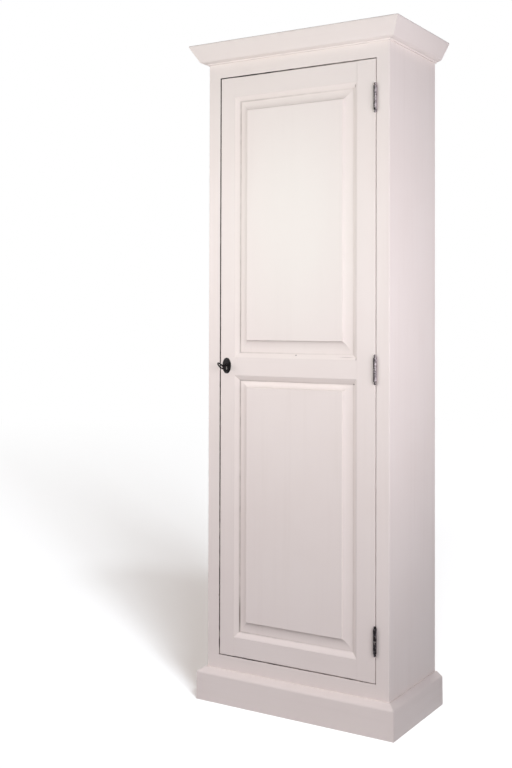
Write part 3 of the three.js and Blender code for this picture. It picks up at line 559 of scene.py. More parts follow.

# %% [markdown]
# ## The door's frame
#
# The lock stile, the hinge stile and three rails hold two panels. Rows are placed exactly
# where the mitres of the moulding need them, and at the hinge pockets. Painted shade is another
# sum on each point: how far the point lies from the edge of the moulding.

# %% Make the door's stiles and rails
DOOR_LEFT, DOOR_RIGHT, DOOR_BOTTOM, DOOR_TOP = -260, 261, 142.5, 1896
FLAT_LEFT, FLAT_RIGHT = -210.5, 202.5
OPENINGS = {"lower": (199.8, 989.6), "upper": (1044.1, 1837.0)}


def room_in_openings(height):
    """How far a height is from the nearer corner of its opening; below zero outside."""
    rooms = [np.minimum(height - low, high - height) for low, high in OPENINGS.values()]
    return np.max(rooms, 0)


def painted_moulding_shade(place):
    """Painted shade in the small step of the moulding and where it meets the panel.

    The inset is the distance from the edge of the flat towards the opening, and the shade
    falls off with the distance from the step at 0 and from the lip, a moulding's width
    further in. The lip on the lock side has the most of it.
    """
    inset = np.minimum(np.minimum(place[:, 0] - FLAT_LEFT, FLAT_RIGHT - place[:, 0]),
                       room_in_openings(place[:, 2]))
    lip = 0.11 * np.exp(-np.abs(inset - MOULDING_WIDTH) / 1.5) * (place[:, 1] > 6)
    lip = lip * np.where(place[:, 0] < FLAT_LEFT + 18, 3.5, 1)
    return lip + 0.05 * np.exp(-np.abs(inset) / 0.6)


def door_rail(low, high, moulded_low, moulded_high, right_gap=0.1):
    """A rail between the stiles; its rows run from left to right with the mitres at both ends."""
    left, right = FLAT_LEFT + 0.1, FLAT_RIGHT - right_gap
    rows = np.sort(np.concatenate([[left, right], left + MITRE_STEPS, right - MITRE_STEPS]))
    room = np.minimum(rows - left, right - rows)
    below = moulded_side(low, -1, room) if moulded_low else plain_side(low, 1, rows, DOOR_DEPTH)
    above = moulded_side(high, 1, room) if moulded_high else plain_side(high, -1, rows, DOOR_DEPTH)
    return member(below, above, rows, False)


mitre_rows = [np.concatenate([low + MITRE_STEPS, [low], high - MITRE_STEPS, [high]])
              for low, high in OPENINGS.values()]
stile_rows = np.sort(np.concatenate([[DOOR_BOTTOM, DOOR_TOP]] + mitre_rows))
lock_stile = member(plain_side(DOOR_LEFT, 1, stile_rows, DOOR_DEPTH),
                    moulded_side(FLAT_LEFT, 1, room_in_openings(stile_rows)), stile_rows, True)
finish_piece("door_stile_lock", [lock_stile], darkening=painted_moulding_shade)
hinge_rows, in_pocket = rows_with_pockets(stile_rows)
hinge_stile = member(moulded_side(FLAT_RIGHT, -1, room_in_openings(hinge_rows)),
                     plain_side(DOOR_RIGHT, -1, hinge_rows, DOOR_DEPTH, in_pocket), hinge_rows, True)
finish_piece("door_stile_hinge", [hinge_stile], darkening=painted_moulding_shade)
lower, upper = OPENINGS["lower"], OPENINGS["upper"]
door_rails = {"bottom": door_rail(DOOR_BOTTOM, lower[0], False, True),
              "middle": door_rail(lower[1], upper[0], True, True),
              "top": door_rail(upper[1], DOOR_TOP, True, False, 0.4)}
for name, rail in door_rails.items():
    finish_piece("door_rail_" + name, [rail], darkening=painted_moulding_shade)
print("door frame made; a stile has", len(stile_rows), "rows")

# %% [markdown]
# ## The raised panels
#
# Each panel stands proud in the middle and falls away to a thin tongue that sits loose in
# the grooves of the frame. It is a stack of rectangles, one inside the other: the field,
# a soft arris, a hollow shaped like a quarter of an ellipse, then the tongue. The corners of
# the rectangles line up, which draws the crisp mitre lines seen in the photograph.

# %% Make the raised panels
FIELD_DEPTH, TONGUE_FRONT, TONGUE_BACK, TONGUE_REACH, SIDE_MARGIN = -2, 12, 18, 8.5, 30


def raised_panel(low, high, margin_low, margin_high):
    """Rings of four corners; a share of the margin and an extra inset set how far in each lies.

    In the hollow the share is cos(angle), and the depth grows with sin(angle).
    """
    angle = np.linspace(0.05, pi / 2, 30)
    field_and_arris = 2 + len(quarter_turn)
    extra = np.concatenate([[3.5, 0.9], 0.8 * (1 - np.sin(quarter_turn)), np.zeros(len(angle)),
                            [-TONGUE_REACH, -TONGUE_REACH]])
    share = np.concatenate([np.ones(field_and_arris), np.cos(angle), [0, 0]])
    hollow = FIELD_DEPTH + (TONGUE_FRONT - FIELD_DEPTH) * np.sin(angle)
    deep = np.concatenate([[FIELD_DEPTH, FIELD_DEPTH], FIELD_DEPTH + 0.7 * (1 - np.cos(quarter_turn)),
                           hollow, [TONGUE_FRONT, TONGUE_BACK]])
    left = FLAT_LEFT + MOULDING_WIDTH + SIDE_MARGIN * share + extra
    right = FLAT_RIGHT - MOULDING_WIDTH - SIDE_MARGIN * share - extra
    bottom = low + MOULDING_WIDTH + margin_low * share + extra
    top = high - MOULDING_WIDTH - margin_high * share - extra
    way_round = ((left, bottom), (right, bottom), (right, top), (left, top))
    return shell(np.stack([np.stack([x, deep, z], -1) for x, z in way_round], 1))


finish_piece("door_panel_lower", [raised_panel(*lower, 35.5, 20)], 6, painted_moulding_shade)
finish_piece("door_panel_upper", [raised_panel(*upper, 38, 30)], 6, painted_moulding_shade)
print("panels made; pieces so far:", len(pieces))

# %% [markdown]
# ## Turned parts and screws
#
# Barrels, finials, shanks and pins come off a lathe. Each is a profile spun round an axis,
# which gives the same clean rings as the real tool. A screw head can't be spun, because of
# its slot, so it is a loaf of slices, two of which are cut down for the slot.

# %% Helpers for turned parts and screws
def turned(profile, centre, axis, columns=36):
    """Spins radius and height pairs: a point is centre + radius * (cos, sin) across the axis."""
    profile = np.asarray(profile, float)
    axis = np.asarray(axis, float)
    across = np.roll(axis, 1)
    third = np.cross(axis, across)
    angle = np.linspace(0, 2 * pi, columns, endpoint=False)
    circle = np.cos(angle)[:, None] * across + np.sin(angle)[:, None] * third
    rings = np.asarray(centre, float) + profile[:, :1, None] * circle
    return shell(rings + profile[:, 1, None, None] * axis)


def screw_head(centre, facing, radius=3.3, depth=1.7, angle=0.3):
    """A countersunk head: slices across a disc, with a domed top and a slot across it.

    A slice at u holds v from -w to w, where w is sqrt(radius^2 - u^2); its foot is smaller.
    """
    slot_half, slot_depth, dome_rise, foot_share = 0.35, 0.9, 0.25, 0.55
    left_slices = -radius * np.cos(np.linspace(0, 1.45, 7))
    slot_slices = [-slot_half, -slot_half, slot_half, slot_half]
    u = np.concatenate([left_slices, slot_slices, -left_slices[::-1]])[:, None]
    cut = np.zeros((len(u), 1))
    cut[len(left_slices) + 1:len(left_slices) + 3] = slot_depth
    v = np.sqrt(np.maximum(radius ** 2 - u ** 2, 0)) * np.linspace(-1, 1, 9)
    dome = dome_rise * (1 - (u ** 2 + v ** 2) / radius ** 2) - cut
    u = np.broadcast_to(u, v.shape)
    top = np.stack([u, v, dome], -1)
    foot = np.stack([u * foot_share, v * foot_share, np.full(v.shape, -depth)], -1)
    loop = np.concatenate([top, foot[:, ::-1]], 1)
    facing = np.asarray(facing, float)
    across = np.roll(facing, 1) * np.cos(angle) + np.cross(facing, np.roll(facing, 1)) * np.sin(angle)
    third = np.cross(facing, across)
    placed = loop[..., :1] * across + loop[..., 1:2] * third + loop[..., 2:] * facing
    return shell(np.asarray(centre, float) + placed)


print("helpers for turned parts ready")

# %% [markdown]
# ## Hinges
#
# The door hangs on three lift-off hinges. Each half is a turned barrel with a small ball
# finial and a leaf let into the wood with countersunk screws, and a thin washer lies between
# the halves. Both halves come from one function, the frame's upside down.

# %% Make the hinges
PIVOT, LEAF_EASE, SCREW_RISE = (262.0, -5.3), 0.3, 25
barrel_profile = [(0, 1.1), (4.4, 1.1), (4.85, 1.25), (5, 1.7), (5, 2.4), (4.95, 17), (5, 33.0),
                  (4.9, 33.7), (4.5, 34.1), (3.0, 34.2), (2.5, 34.6), (2.5, 35.0), (3.2, 35.3),
                  (3.3, 35.7), (3.1, 36.0), (2.2, 36.3)]
ball_radius, ball_height, ball_angle = 3.5, 39.1, np.linspace(0.5, pi, 14)
ball = ball_radius * np.stack([np.sin(ball_angle), -np.cos(ball_angle)], -1) + (0, ball_height)


def hinge_half(height, upward, leaf_low, face_toward):
    """Barrel, leaf, strap and three screws of one half; upward is 1 for the door's half."""
    body = turned(np.concatenate([barrel_profile, ball]), (*PIVOT, height), (0, 0, upward))
    leaf_high = leaf_low + LEAF_THICKNESS
    plate = board([leaf_low, LEAF_SLACK, height - LEAF_HALF],
                  [leaf_high, LEAF_DEPTH, height + LEAF_HALF], LEAF_EASE)
    ends = sorted([height + upward * 1.4, height + upward * 34.0])
    strap = board([leaf_low, PIVOT[1], ends[0]], [leaf_high, 1.5, ends[1]], LEAF_EASE)
    face = leaf_low if face_toward < 0 else leaf_high
    screws = [screw_head((face, 12, height + rise), (face_toward, 0, 0), angle=0.4 + rise)
              for rise in (-SCREW_RISE, 0, SCREW_RISE)]
    return [body, plate, strap, *screws]


def washer(height):
    """A profile that ends where it starts, spun into a ring; the two end caps are left out."""
    profile = [(2.6, -0.7), (5.2, -0.7), (5.5, -0.4), (5.5, 0.4), (5.2, 0.7), (2.6, 0.7), (2.6, -0.7)]
    points, faces = turned(profile, (*PIVOT, height), (0, 0, 1))
    return points, faces[:-2]


for number, height in enumerate(HINGE_HEIGHTS, 1):
    finish_piece(f"hinge_frame_leaf_{number}", hinge_half(height, -1, OPENING_HALF, -1))
    finish_piece(f"hinge_door_leaf_{number}", hinge_half(height, 1, DOOR_RIGHT - LEAF_THICKNESS, 1))
    finish_piece(f"hinge_washer_{number}", [washer(height)])
print("hinges made; pieces so far:", len(pieces))

# %% [markdown]
# ## Escutcheon, key and lock
#
# A black oval plate guards the keyhole. It is a ring of points: inside, the outline of the
# keyhole, outside, an ellipse, and between them a gentle dome that rolls over at the rim.

# %% Make the escutcheon and its pins
KEY_X, KEY_Z = -237.5, 1019.0
PLATE_HALF_WIDTH, PLATE_HALF_HEIGHT, RIM_HEIGHT, PIN_RISE = 15, 24, 0.9, 19.5
HOLE_RADIUS, SLOT_HALF, SLOT_FOOT = 4.0, 2.2, 12.2


def keyhole_radius(angle):
    """How far the keyhole reaches at an angle: the farther of its circle and its slot below."""
    down = -np.sin(angle)
    sideways = np.abs(np.cos(angle))
    slot = np.minimum(SLOT_HALF / np.maximum(sideways, TINY), SLOT_FOOT / np.maximum(down, TINY))
    return np.maximum(HOLE_RADIUS, np.where(down > 0, slot, 0))


corner_angles = -pi / 2 + np.array([-1, 1]) * np.arctan2(SLOT_HALF, SLOT_FOOT)
angle = np.sort(np.concatenate([np.linspace(-pi, pi, 96, endpoint=False), corner_angles]))
direction = np.stack([np.cos(angle), np.sin(angle)], -1)
oval_radius = 1 / np.linalg.norm(direction / (PLATE_HALF_WIDTH, PLATE_HALF_HEIGHT), axis=1)
hole = keyhole_radius(angle)
over_plate = np.linspace(0.86, 0.04, 9)
share = np.concatenate([[1, 1], 1 - 0.09 * (1 - np.cos(quarter_turn[1:])), over_plate, [0, 0]])
deep = -np.concatenate([[0, RIM_HEIGHT], RIM_HEIGHT + np.sin(quarter_turn[1:]),
                        RIM_HEIGHT + 1 + 0.6 * (1 - over_plate ** 2), [2.35, 0]])
reach = hole + share[:, None] * (oval_radius - hole)
rings = np.stack([KEY_X + reach * direction[:, 0], np.broadcast_to(deep[:, None], reach.shape),
                  KEY_Z + reach * direction[:, 1]], -1)
finish_piece("escutcheon", [shell(rings, closed_rows=True)])
pin_dome = quarter_circle * (1.8, -0.9) - (0, 0.2)
pin_profile = np.concatenate([[(0, 9), (0.8, 8), (0.8, 0), (1.8, 0)], pin_dome])
for number, rise in enumerate((-PIN_RISE, PIN_RISE), 1):
    pin = turned(pin_profile, (KEY_X, -1.9, KEY_Z + rise), (0, 1, 0), 20)
    finish_piece(f"escutcheon_pin_{number}", [pin])
print("escutcheon has", rings.shape[0] * rings.shape[1], "points")

# %% [markdown]
# The key is bent and forged iron: a ring to hold, a collar that stops it at the plate, a
# round shank, and a bit with one notch that works the bolt. It stands part-turned in the
# photograph, so the finished shape is turned about its shank.

# %% Make the key
REST_TURN = radians(-45)
BOW_CENTRE, BOW_HALF_LENGTH, BOW_HALF_WIDTH, BOW_WIRE, BOW_FLATTENED = -34, 8.3, 11.8, 2.4, 0.9


def turned_to_rest(points):
    """Turns about the shank: x' = x cos + z sin, z' = -x sin + z cos, round the keyhole."""
    x, z = points[..., 0].copy(), points[..., 2].copy()
    placed = points.copy()
    placed[..., 0] = KEY_X + x * np.cos(REST_TURN) + z * np.sin(REST_TURN)
    placed[..., 2] = KEY_Z - x * np.sin(REST_TURN) + z * np.cos(REST_TURN)
    return placed


def key_bow():
    """A wire round an ellipse: its middle line plus wire * (cos outwards, sin sideways)."""
    around = np.linspace(0, 2 * pi, 48, endpoint=False)
    wire = np.linspace(0, 2 * pi, 16, endpoint=False)[None, :, None]
    level_x = np.zeros(len(around))
    middle = np.stack([level_x, BOW_CENTRE + BOW_HALF_LENGTH * np.cos(around),
                       BOW_HALF_WIDTH * np.sin(around)], -1)
    outward = np.stack([level_x, np.cos(around) / BOW_HALF_LENGTH,
                        np.sin(around) / BOW_HALF_WIDTH], -1)
    outward /= np.linalg.norm(outward, axis=1)[:, None]
    sideways = np.array([BOW_FLATTENED, 0, 0])
    section = np.cos(wire) * outward[:, None] + np.sin(wire) * sideways
    return shell(middle[:, None] + BOW_WIRE * section, closed_rows=True)


shank_profile = [(0, -26.5), (2.4, -26.2), (2.6, -22.6), (2.9, -22.2), (4.1, -21.9), (4.3, -21.5),
                 (4.3, -20.2), (4.1, -19.8), (3.2, -19.5), (3.0, -19.0), (3.0, 38.4), (2.8, 39.0),
                 (2.2, 39.3), (0, 39.3)]
shank = turned(shank_profile, (0, 0, 0), (0, 1, 0))
bit_outline = [(27, 0), (27, -10.4), (27.6, -11), (29.2, -11), (29.2, -8), (30.8, -8), (30.8, -11),
               (32.4, -11), (33, -10.4), (33, 0)]
bit = extrude(bit_outline, -1.2, 1.2, 0)
key_shells = [(turned_to_rest(points), faces) for points, faces in (key_bow(), shank, bit)]
finish_piece("key", key_shells)
print("key made, its bow", 2 * (BOW_HALF_WIDTH + BOW_WIRE), "mm across")

# %% [markdown]
# The lock is a plain box screwed to the back of the door, so its CAD parts already have the
# right shape. A merged copy of each gets a small bevel, because no pressed or filed metal
# has a perfectly sharp edge, and the light needs that edge to catch on. The screws are
# placed from the keyhole, as a locksmith would mark them.

# %% Soften the lock's plates
# The bevels are in metres, and the lock's screws are placed aside and up from the keyhole.
BEVELS = {"lock_case": 0.0005, "lock_cover": 0.0004, "lock_bolt": 0.0004, "strike_plate": 0.0003}
LOCK_SCREWS = [(-14.8, -30), (-14.8, 30), (23.2, -30), (23.2, 30)]
LOCK_BACK, STRIKE_BACK, STRIKE_X, STRIKE_SCREWS = 39.6, 24, -274, (-31, 3)


def softened_copy(node, width):
    """A merged copy of a CAD part with bevelled edges, standing in for that part."""
    mesh = frame["nodes"][node].data.copy()
    mesh.name = "finished_" + node
    mesh.materials.clear()
    solid = bmesh.new()
    solid.from_mesh(mesh)
    bmesh.ops.remove_doubles(solid, verts=solid.verts, dist=TINY)
    bmesh.ops.dissolve_limit(solid, angle_limit=radians(1), verts=solid.verts, edges=solid.edges)
    solid.to_mesh(mesh)
    solid.free()
    mesh.attributes.new("darkening", "FLOAT", "POINT")
    mesh.shade_smooth()
    piece = stand_in(node, mesh)
    bevel = piece.modifiers.new("bevel", "BEVEL")
    bevel.width, bevel.segments, bevel.limit_method = width, 2, "ANGLE"
    bevel.harden_normals = True


def screw(x, z, head_at, stem, angle):
    """A screw that faces the back: its head at a depth, and the stem that its profile gives."""
    head = screw_head((x, head_at, z), (0, 1, 0), angle=angle)
    return [head, turned(stem, (x, 0, z), (0, 1, 0), 16)]


for node, width in BEVELS.items():
    softened_copy(node, width)
lock_stem = [(0, 13.6), (1.2, 17), (1.6, 18), (1.6, 38), (0, 38)]
strike_stem = [(0, 8), (1.2, 11), (1.6, 12), (1.6, 22.5), (0, 22.5)]
for number, (aside, rise) in enumerate(LOCK_SCREWS, 1):
    shells = screw(KEY_X + aside, KEY_Z + rise, LOCK_BACK, lock_stem, number * 1.1)
    finish_piece(f"lock_screw_{number}", shells)
for number, rise in enumerate(STRIKE_SCREWS, 1):
    shells = screw(STRIKE_X, KEY_Z + rise, STRIKE_BACK, strike_stem, number * 0.8)
    finish_piece(f"strike_screw_{number}", shells)
missing = sorted(set(frame["nodes"]) - set(pieces))
print("pieces made:", len(pieces), "CAD parts still showing:", missing)

# %% [markdown]
# ## Materials
#
# A material is a small graph of nodes. One helper adds a node and fills its sockets, so
# that each recipe below reads from the pattern to the finished surface.

# %% Helpers for node graphs
STRETCHES = {"even": (1, 1, 1), "x": (0.04, 1, 1), "y": (1, 0.04, 1), "z": (1, 1, 0.04)}


def add_node(tree, kind, inputs=None, **settings):
    """Adds a node; a socket given as an input is linked, and any other value is written in."""
    node = tree.nodes.new("ShaderNode" + kind)
    for name, value in settings.items():
        setattr(node, name, value)
    for name, value in (inputs or {}).items():
        if isinstance(value, bpy.types.NodeSocket):
            tree.links.new(value, node.inputs[name])
        else:
            node.inputs[name].default_value = value
    return node


def combine(tree, operation, first, second):
    """One sum on two numbers, such as ADD, MULTIPLY or MAXIMUM."""
    return add_node(tree, "Math", {0: first, 1: second}, operation=operation).outputs[0]


def mix_colours(tree, amount, first, second):
    """first * (1 - amount) + second * amount, for colours."""
    return add_node(tree, "Mix", {0: amount, 6: first, 7: second}, data_type="RGBA").outputs[2]


def mix_values(tree, amount, first, second):
    """first * (1 - amount) + second * amount, for plain numbers."""
    return add_node(tree, "Mix", {0: amount, 2: first, 3: second}).outputs[0]


def rescale(tree, value, low, high, new_low, new_high):
    """Stretches low..high to new_low..new_high and stops at both ends."""
    names = {"From Min": low, "From Max": high, "To Min": new_low, "To Max": new_high, "Value": value}
    return add_node(tree, "MapRange", names).outputs[0]


def stain(tree, colour, pattern, low, high, stained, most=1):
    """Mixes a second colour in where the pattern passes from low to high, up to a share of most."""
    return mix_colours(tree, rescale(tree, pattern, low, high, 0, most), colour, stained)


def noise_along(tree, scale, along, detail=4, roughness=0.5):
    """Noise on Object coordinates, drawn out along one axis or even all round."""
    place = add_node(tree, "TexCoord").outputs["Object"]
    drawn = add_node(tree, "Mapping", {"Vector": place, "Scale": STRETCHES[along]}).outputs[0]
    settings = {"Vector": drawn, "Scale": scale, "Detail": detail, "Roughness": roughness}
    return add_node(tree, "TexNoise", settings).outputs[0]


def relief(tree, height, strength, distance, under=None):
    """A bump from a pattern, over another one if that is given; distance is in metres."""
    inputs = {"Height": height, "Strength": strength, "Distance": distance}
    if under is not None:
        inputs["Normal"] = under
    return add_node(tree, "Bump", inputs).outputs[0]


def blank_material(name):
    """A new material with only its output and a surface shader, joined up."""
    material = bpy.data.materials.new(name)
    material.use_nodes = True
    tree = material.node_tree
    return material, tree, tree.nodes["Principled BSDF"]


def join_up(tree, surface, colour, roughness, normal):
    """Links a recipe's colour, roughness and relief to the surface shader."""
    for value, name in ((colour, "Base Color"), (roughness, "Roughness"), (normal, "Normal")):
        tree.links.new(value, surface.inputs[name])


print("patterns can run", list(STRETCHES))

# %% [markdown]
# The paint is satin cream, put on with a brush and now years old. It could be one flat
# colour, but real paint is never that even. Slow clouds shift its colour, long streaks follow
# the brush, the numbers on each point bring painted shade into the gap and the mouldings and
# darken the cornice's top edge, and the middle of the door's upper half is a more neutral cream.
# A few small marks each fill an ellipsoid at a place of their own; one of them is painted shade.

# %% Mix the cream paint
CREAM = (0.860, 0.790, 0.750, 1)
DEEPER_CREAM = (0.840, 0.764, 0.722, 1)
BRUSH_STREAK = (0.80, 0.725, 0.68, 1)
NEUTRAL_CREAM = (0.855, 0.812, 0.762, 1)
GREY_BROWN = (0.42, 0.37, 0.345, 1)
NEAR_BLACK_BROWN = (0.025, 0.019, 0.016, 1)
MARK_AND_SHADE_BROWN = (0.16, 0.12, 0.10, 1)
NEUTRAL_CENTRE, NEUTRAL_HALF_SIZE = (0, 0, 1430), (260, 60, 420)
# Each mark is its centre and half size in millimetres, then its strength.
MARKS = {
    "knot over the middle rail": ((1, 7, 1054.3), (3.4, 8, 2.2), 0.62),
    "crack over the middle rail": ((168, 6, 1051.7), (26, 7, 0.7), 0.50),
    "corner over the middle rail": ((199.4, 3, 1046.5), (3.2, 6, 4.5), 0.30),
    "dark notch under the middle rail": ((190, 9, 974.6), (4.6, 7, 2.2), 0.75),
    "dark mark in the left frame stile": ((-262, 1, 319), (3.2, 4, 5.0), 0.95),
    "crack beside the lower panel": ((-195, 11, 267), (1.6, 3, 58), 0.90),
    # This mark is painted shade: it darkens the top end of the shaded band along the hinge stile's
    # moulding.
    "painted shade in the corner under the top rail": ((195.5, 5, 1826.5), (2.6, 5, 5.5), 0.45),
}


def reach_from(tree, place, centre, half_size):
    """0 at the centre of an ellipsoid and 1 on its skin."""
    middle, per_metre = tuple(in_metres(centre)), tuple(1000 / np.array(half_size))
    offset = add_node(tree, "VectorMath", {0: place, 1: middle}, operation="SUBTRACT").outputs[0]
    share = add_node(tree, "VectorMath", {0: offset, 1: per_metre}, operation="MULTIPLY").outputs[0]
    return add_node(tree, "VectorMath", {0: share}, operation="LENGTH").outputs["Value"]


def small_marks(tree, place):
    """A knot, hairline cracks, dark spots and a spot of painted shade: strongest inside a small
    ellipsoid, nothing outside.
    """
    total = 0.0
    for centre, half_size, strength in MARKS.values():
        mark = rescale(tree, reach_from(tree, place, centre, half_size), 0.5, 1.1, strength, 0)
        total = combine(tree, "MAXIMUM", mark, total)
    return total


def cream_paint(along):
    """Satin cream paint, brushed along one axis, a little uneven, with painted shade in its gaps and
    mouldings.
    """
    material, tree, surface = blank_material("cream_paint_" + along)
    place = add_node(tree, "TexCoord").outputs["Object"]
    clouds = noise_along(tree, 3.5, "even", 5)
    streaks = noise_along(tree, 60, along, 3)
    darkening = add_node(tree, "Attribute", attribute_name="darkening").outputs["Fac"]
    blotches = rescale(tree, noise_along(tree, 40, "even", 3), 0.3, 0.7, 0.6, 1)
    darkening_amount = combine(tree, "MULTIPLY", darkening, blotches)
    from_middle = reach_from(tree, place, NEUTRAL_CENTRE, NEUTRAL_HALF_SIZE)
    colour = stain(tree, CREAM, clouds, 0.35, 0.65, DEEPER_CREAM)
    colour = stain(tree, colour, streaks, 0.55, 0.75, BRUSH_STREAK, 0.25)
    # Painted shade in the gap and the mouldings, and the darker top edge of the cornice, mix in
    # grey-brown and then near-black here.
    colour = stain(tree, colour, darkening_amount, 0, 0.5, GREY_BROWN)
    colour = stain(tree, colour, darkening_amount, 0.35, 0.6, NEAR_BLACK_BROWN)
    # The middle of the door's upper half is mixed towards a more neutral cream.
    colour = mix_colours(tree, rescale(tree, from_middle, 0.3, 1.0, 1, 0), colour, NEUTRAL_CREAM)
    colour = mix_colours(tree, small_marks(tree, place), colour, MARK_AND_SHADE_BROWN)
    brush_marks = relief(tree, noise_along(tree, 420, along, 2), 0.35, 0.0002)
    waves = relief(tree, noise_along(tree, 14, along, 2), 0.5, 0.0006, brush_marks)
    join_up(tree, surface, colour, rescale(tree, streaks, 0.3, 0.7, 0.46, 0.60), waves)
    surface.inputs["Specular IOR Level"].default_value = 0.4
    return material


paints = {along: cream_paint(along) for along in "xyz"}
print("paints mixed:", [paint.name for paint in paints.values()])

# %% [markdown]
# Inside and behind, the wood was never painted. Its grain and its pores are the same kind
# of noise, drawn out along the board. Rings cut from a modelled tree would look truer on an
# end face, but hardly any end face shows here.

# %% Mix the bare wood
PALE_WOOD = (0.50, 0.34, 0.20, 1)
DARK_GRAIN = (0.33, 0.205, 0.11, 1)
PORE = (0.22, 0.13, 0.07, 1)


def bare_wood(along):
    """Planed softwood that was never painted: warm grain, fine pores, a dry surface."""
    material, tree, surface = blank_material("bare_wood_" + along)
    grain = noise_along(tree, 26, along, 6, 0.6)
    pores = noise_along(tree, 260, along, 3)
    colour = stain(tree, PALE_WOOD, grain, 0.32, 0.68, DARK_GRAIN)
    colour = stain(tree, colour, pores, 0.5, 0.75, PORE, 0.5)
    roughness = rescale(tree, grain, 0.3, 0.7, 0.6, 0.78)
    join_up(tree, surface, colour, roughness, relief(tree, pores, 0.5, 0.0003))
    return material


woods = {along: bare_wood(along) for along in "xyz"}
print("woods:", [wood.name for wood in woods.values()])

# %% [markdown]
# Three metals are needed. The hinges are old iron, almost black and rubbed in patches, with
# a painted highlight on the side towards the lamps. The plates, the key and the lock's case
# are iron under black lacquer, and the bolt, the washers and the screws are plain steel. Each
# has its own fine noise, which moves colour, shine and relief together, as a scratch does.

# %% Mix the metals
IRON_SKIN = (0.010, 0.008, 0.009, 1)
RUBBED_AND_HIGHLIT_IRON = (0.40, 0.36, 0.375, 1)
RUST = (0.07, 0.035, 0.02, 1)
LACQUER = (0.012, 0.011, 0.011, 1)
SCUFFED_LACQUER = (0.045, 0.038, 0.034, 1)
STEEL = (0.42, 0.40, 0.38, 1)
SCRATCHED_STEEL = (0.28, 0.26, 0.245, 1)


def aged_iron():
    """Dark worn iron with rubbed patches, and a painted highlight on each hinge's lamp side, less low
    down.
    """
    material, tree, surface = blank_material("aged_iron")
    place = add_node(tree, "TexCoord").outputs["Object"]
    axes = add_node(tree, "SeparateXYZ", {"Vector": place}).outputs
    # Painted highlight: the barrel's right side, towards the lamps, is mixed paler, less so low down;
    # elsewhere the pale patches are wear.
    highlight_side = rescale(tree, axes["X"], 0.2612, 0.2645, 0, 1)
    high_up = rescale(tree, axes["Z"], 0.4, 1.0, 0.15, 1)
    patches = noise_along(tree, 160, "even", 5, 0.65)
    patches_with_highlight = combine(tree, "ADD", patches, 0.22)
    wear_and_highlight = mix_values(tree, combine(tree, "MULTIPLY", highlight_side, high_up), patches, patches_with_highlight)
    colour = stain(tree, IRON_SKIN, wear_and_highlight, 0.52, 0.76, RUBBED_AND_HIGHLIT_IRON)
    colour = stain(tree, colour, noise_along(tree, 90, "even", 4), 0.58, 0.7, RUST, 0.5)
    roughness = rescale(tree, patches, 0.35, 0.65, 0.62, 0.38)
    join_up(tree, surface, colour, roughness, relief(tree, patches, 0.4, 0.0003))
    surface.inputs["Metallic"].default_value = 0.4
    surface.inputs["Specular IOR Level"].default_value = 0.15
    return material


def black_iron(name, shine):
    """Iron under black lacquer, with faint scuffs that dull it; shine is how much it mirrors."""
    material, tree, surface = blank_material(name)
    scuffs = noise_along(tree, 220, "even", 4, 0.6)
    colour = stain(tree, LACQUER, scuffs, 0.55, 0.7, SCUFFED_LACQUER, 0.5)
    roughness = rescale(tree, scuffs, 0.35, 0.7, 0.12, 0.28)
    join_up(tree, surface, colour, roughness, relief(tree, scuffs, 0.15, 0.0002))
    surface.inputs["Specular IOR Level"].default_value = shine
    return material


def grey_steel():
    """Dull grey steel, finely scratched."""
    material, tree, surface = blank_material("grey_steel")
    scratches = noise_along(tree, 700, "x", 3)
    colour = stain(tree, STEEL, scratches, 0.35, 0.65, SCRATCHED_STEEL)
    roughness = rescale(tree, scratches, 0.3, 0.7, 0.32, 0.5)
    join_up(tree, surface, colour, roughness, relief(tree, scratches, 0.2, 0.0001))
    surface.inputs["Metallic"].default_value = 0.9
    return material


metals = {"aged_iron": aged_iron(), "black_iron": black_iron("black_iron", 0.05),
          "grey_steel": grey_steel()}
pin_iron = black_iron("black_iron_handled", 0.6)
print("metals:", list(metals))

# %% [markdown]
# The CAD names a finish for every part, and each piece takes the material of that name. A
# brush and a plane both follow the length of a board, so paint and wood come in three
# versions, and the words in a piece's name tell which way it runs. The plate's two pins are
# the one exception: their heads are rubbed shinier than the plate.

# %% Give every piece its material
ALONG_X = ("front", "rail", "shelf", "board", "door_stop")
ALONG_Y = ("cornice_left", "cornice_right", "plinth_left", "plinth_right", "batten")


def direction_of(node):
    """The axis that a piece's brush marks or grain run along."""
    if any(word in node for word in ALONG_Y):
        return "y"
    return "x" if any(word in node for word in ALONG_X) else "z"


for node, piece in pieces.items():
    slot = slot_of_node[node]
    by_axis = {"cream_paint": paints, "bare_wood": woods}.get(slot)
    material = by_axis[direction_of(node)] if by_axis else metals[slot]
    if node.startswith("escutcheon_pin"):
        material = pin_iron
    piece.data.materials.append(material)
print("materials given to", len(pieces), "pieces")

# %% [markdown]
# ## Floor and background
#
# The cupboard stands on a white floor in front of a white background. To the camera the
# floor is a mixture of its own lit colour, which holds the shadow, and a plain glow that
# fills it up to white. Near the cupboard most of it is lit colour, and further away the
# glow takes over, so the shadow fades and no horizon shows. Other rays meet a dim floor,
# because a bright one would light the cupboard from below, which the photograph doesn't do.

# %% Lay the floor
BLACK, WHITE, DIM_ROOM = (0, 0, 0, 1), (1, 1, 1, 1), (0.016, 0.013, 0.030, 1)
FLOOR_HALF, FADE_LENGTH = 40, 10
# A place along the fade, from 0 to 1, goes with the share of lit colour there.
LIT_NEAR, LIT_NONE = (0.04, 0.62), 0.95
LIT_SHARES = {0.13: 0.57, 0.21: 0.50, 0.32: 0.38, 0.60: 0.22}


def seen_by_eye(tree):
    """1 for camera, mirror and glass rays, 0 for the rays that only carry light."""
    path = add_node(tree, "LightPath").outputs
    seen = combine(tree, "MAXIMUM", path["Is Camera Ray"], path["Is Glossy Ray"])
    return combine(tree, "MAXIMUM", seen, path["Is Transmission Ray"])


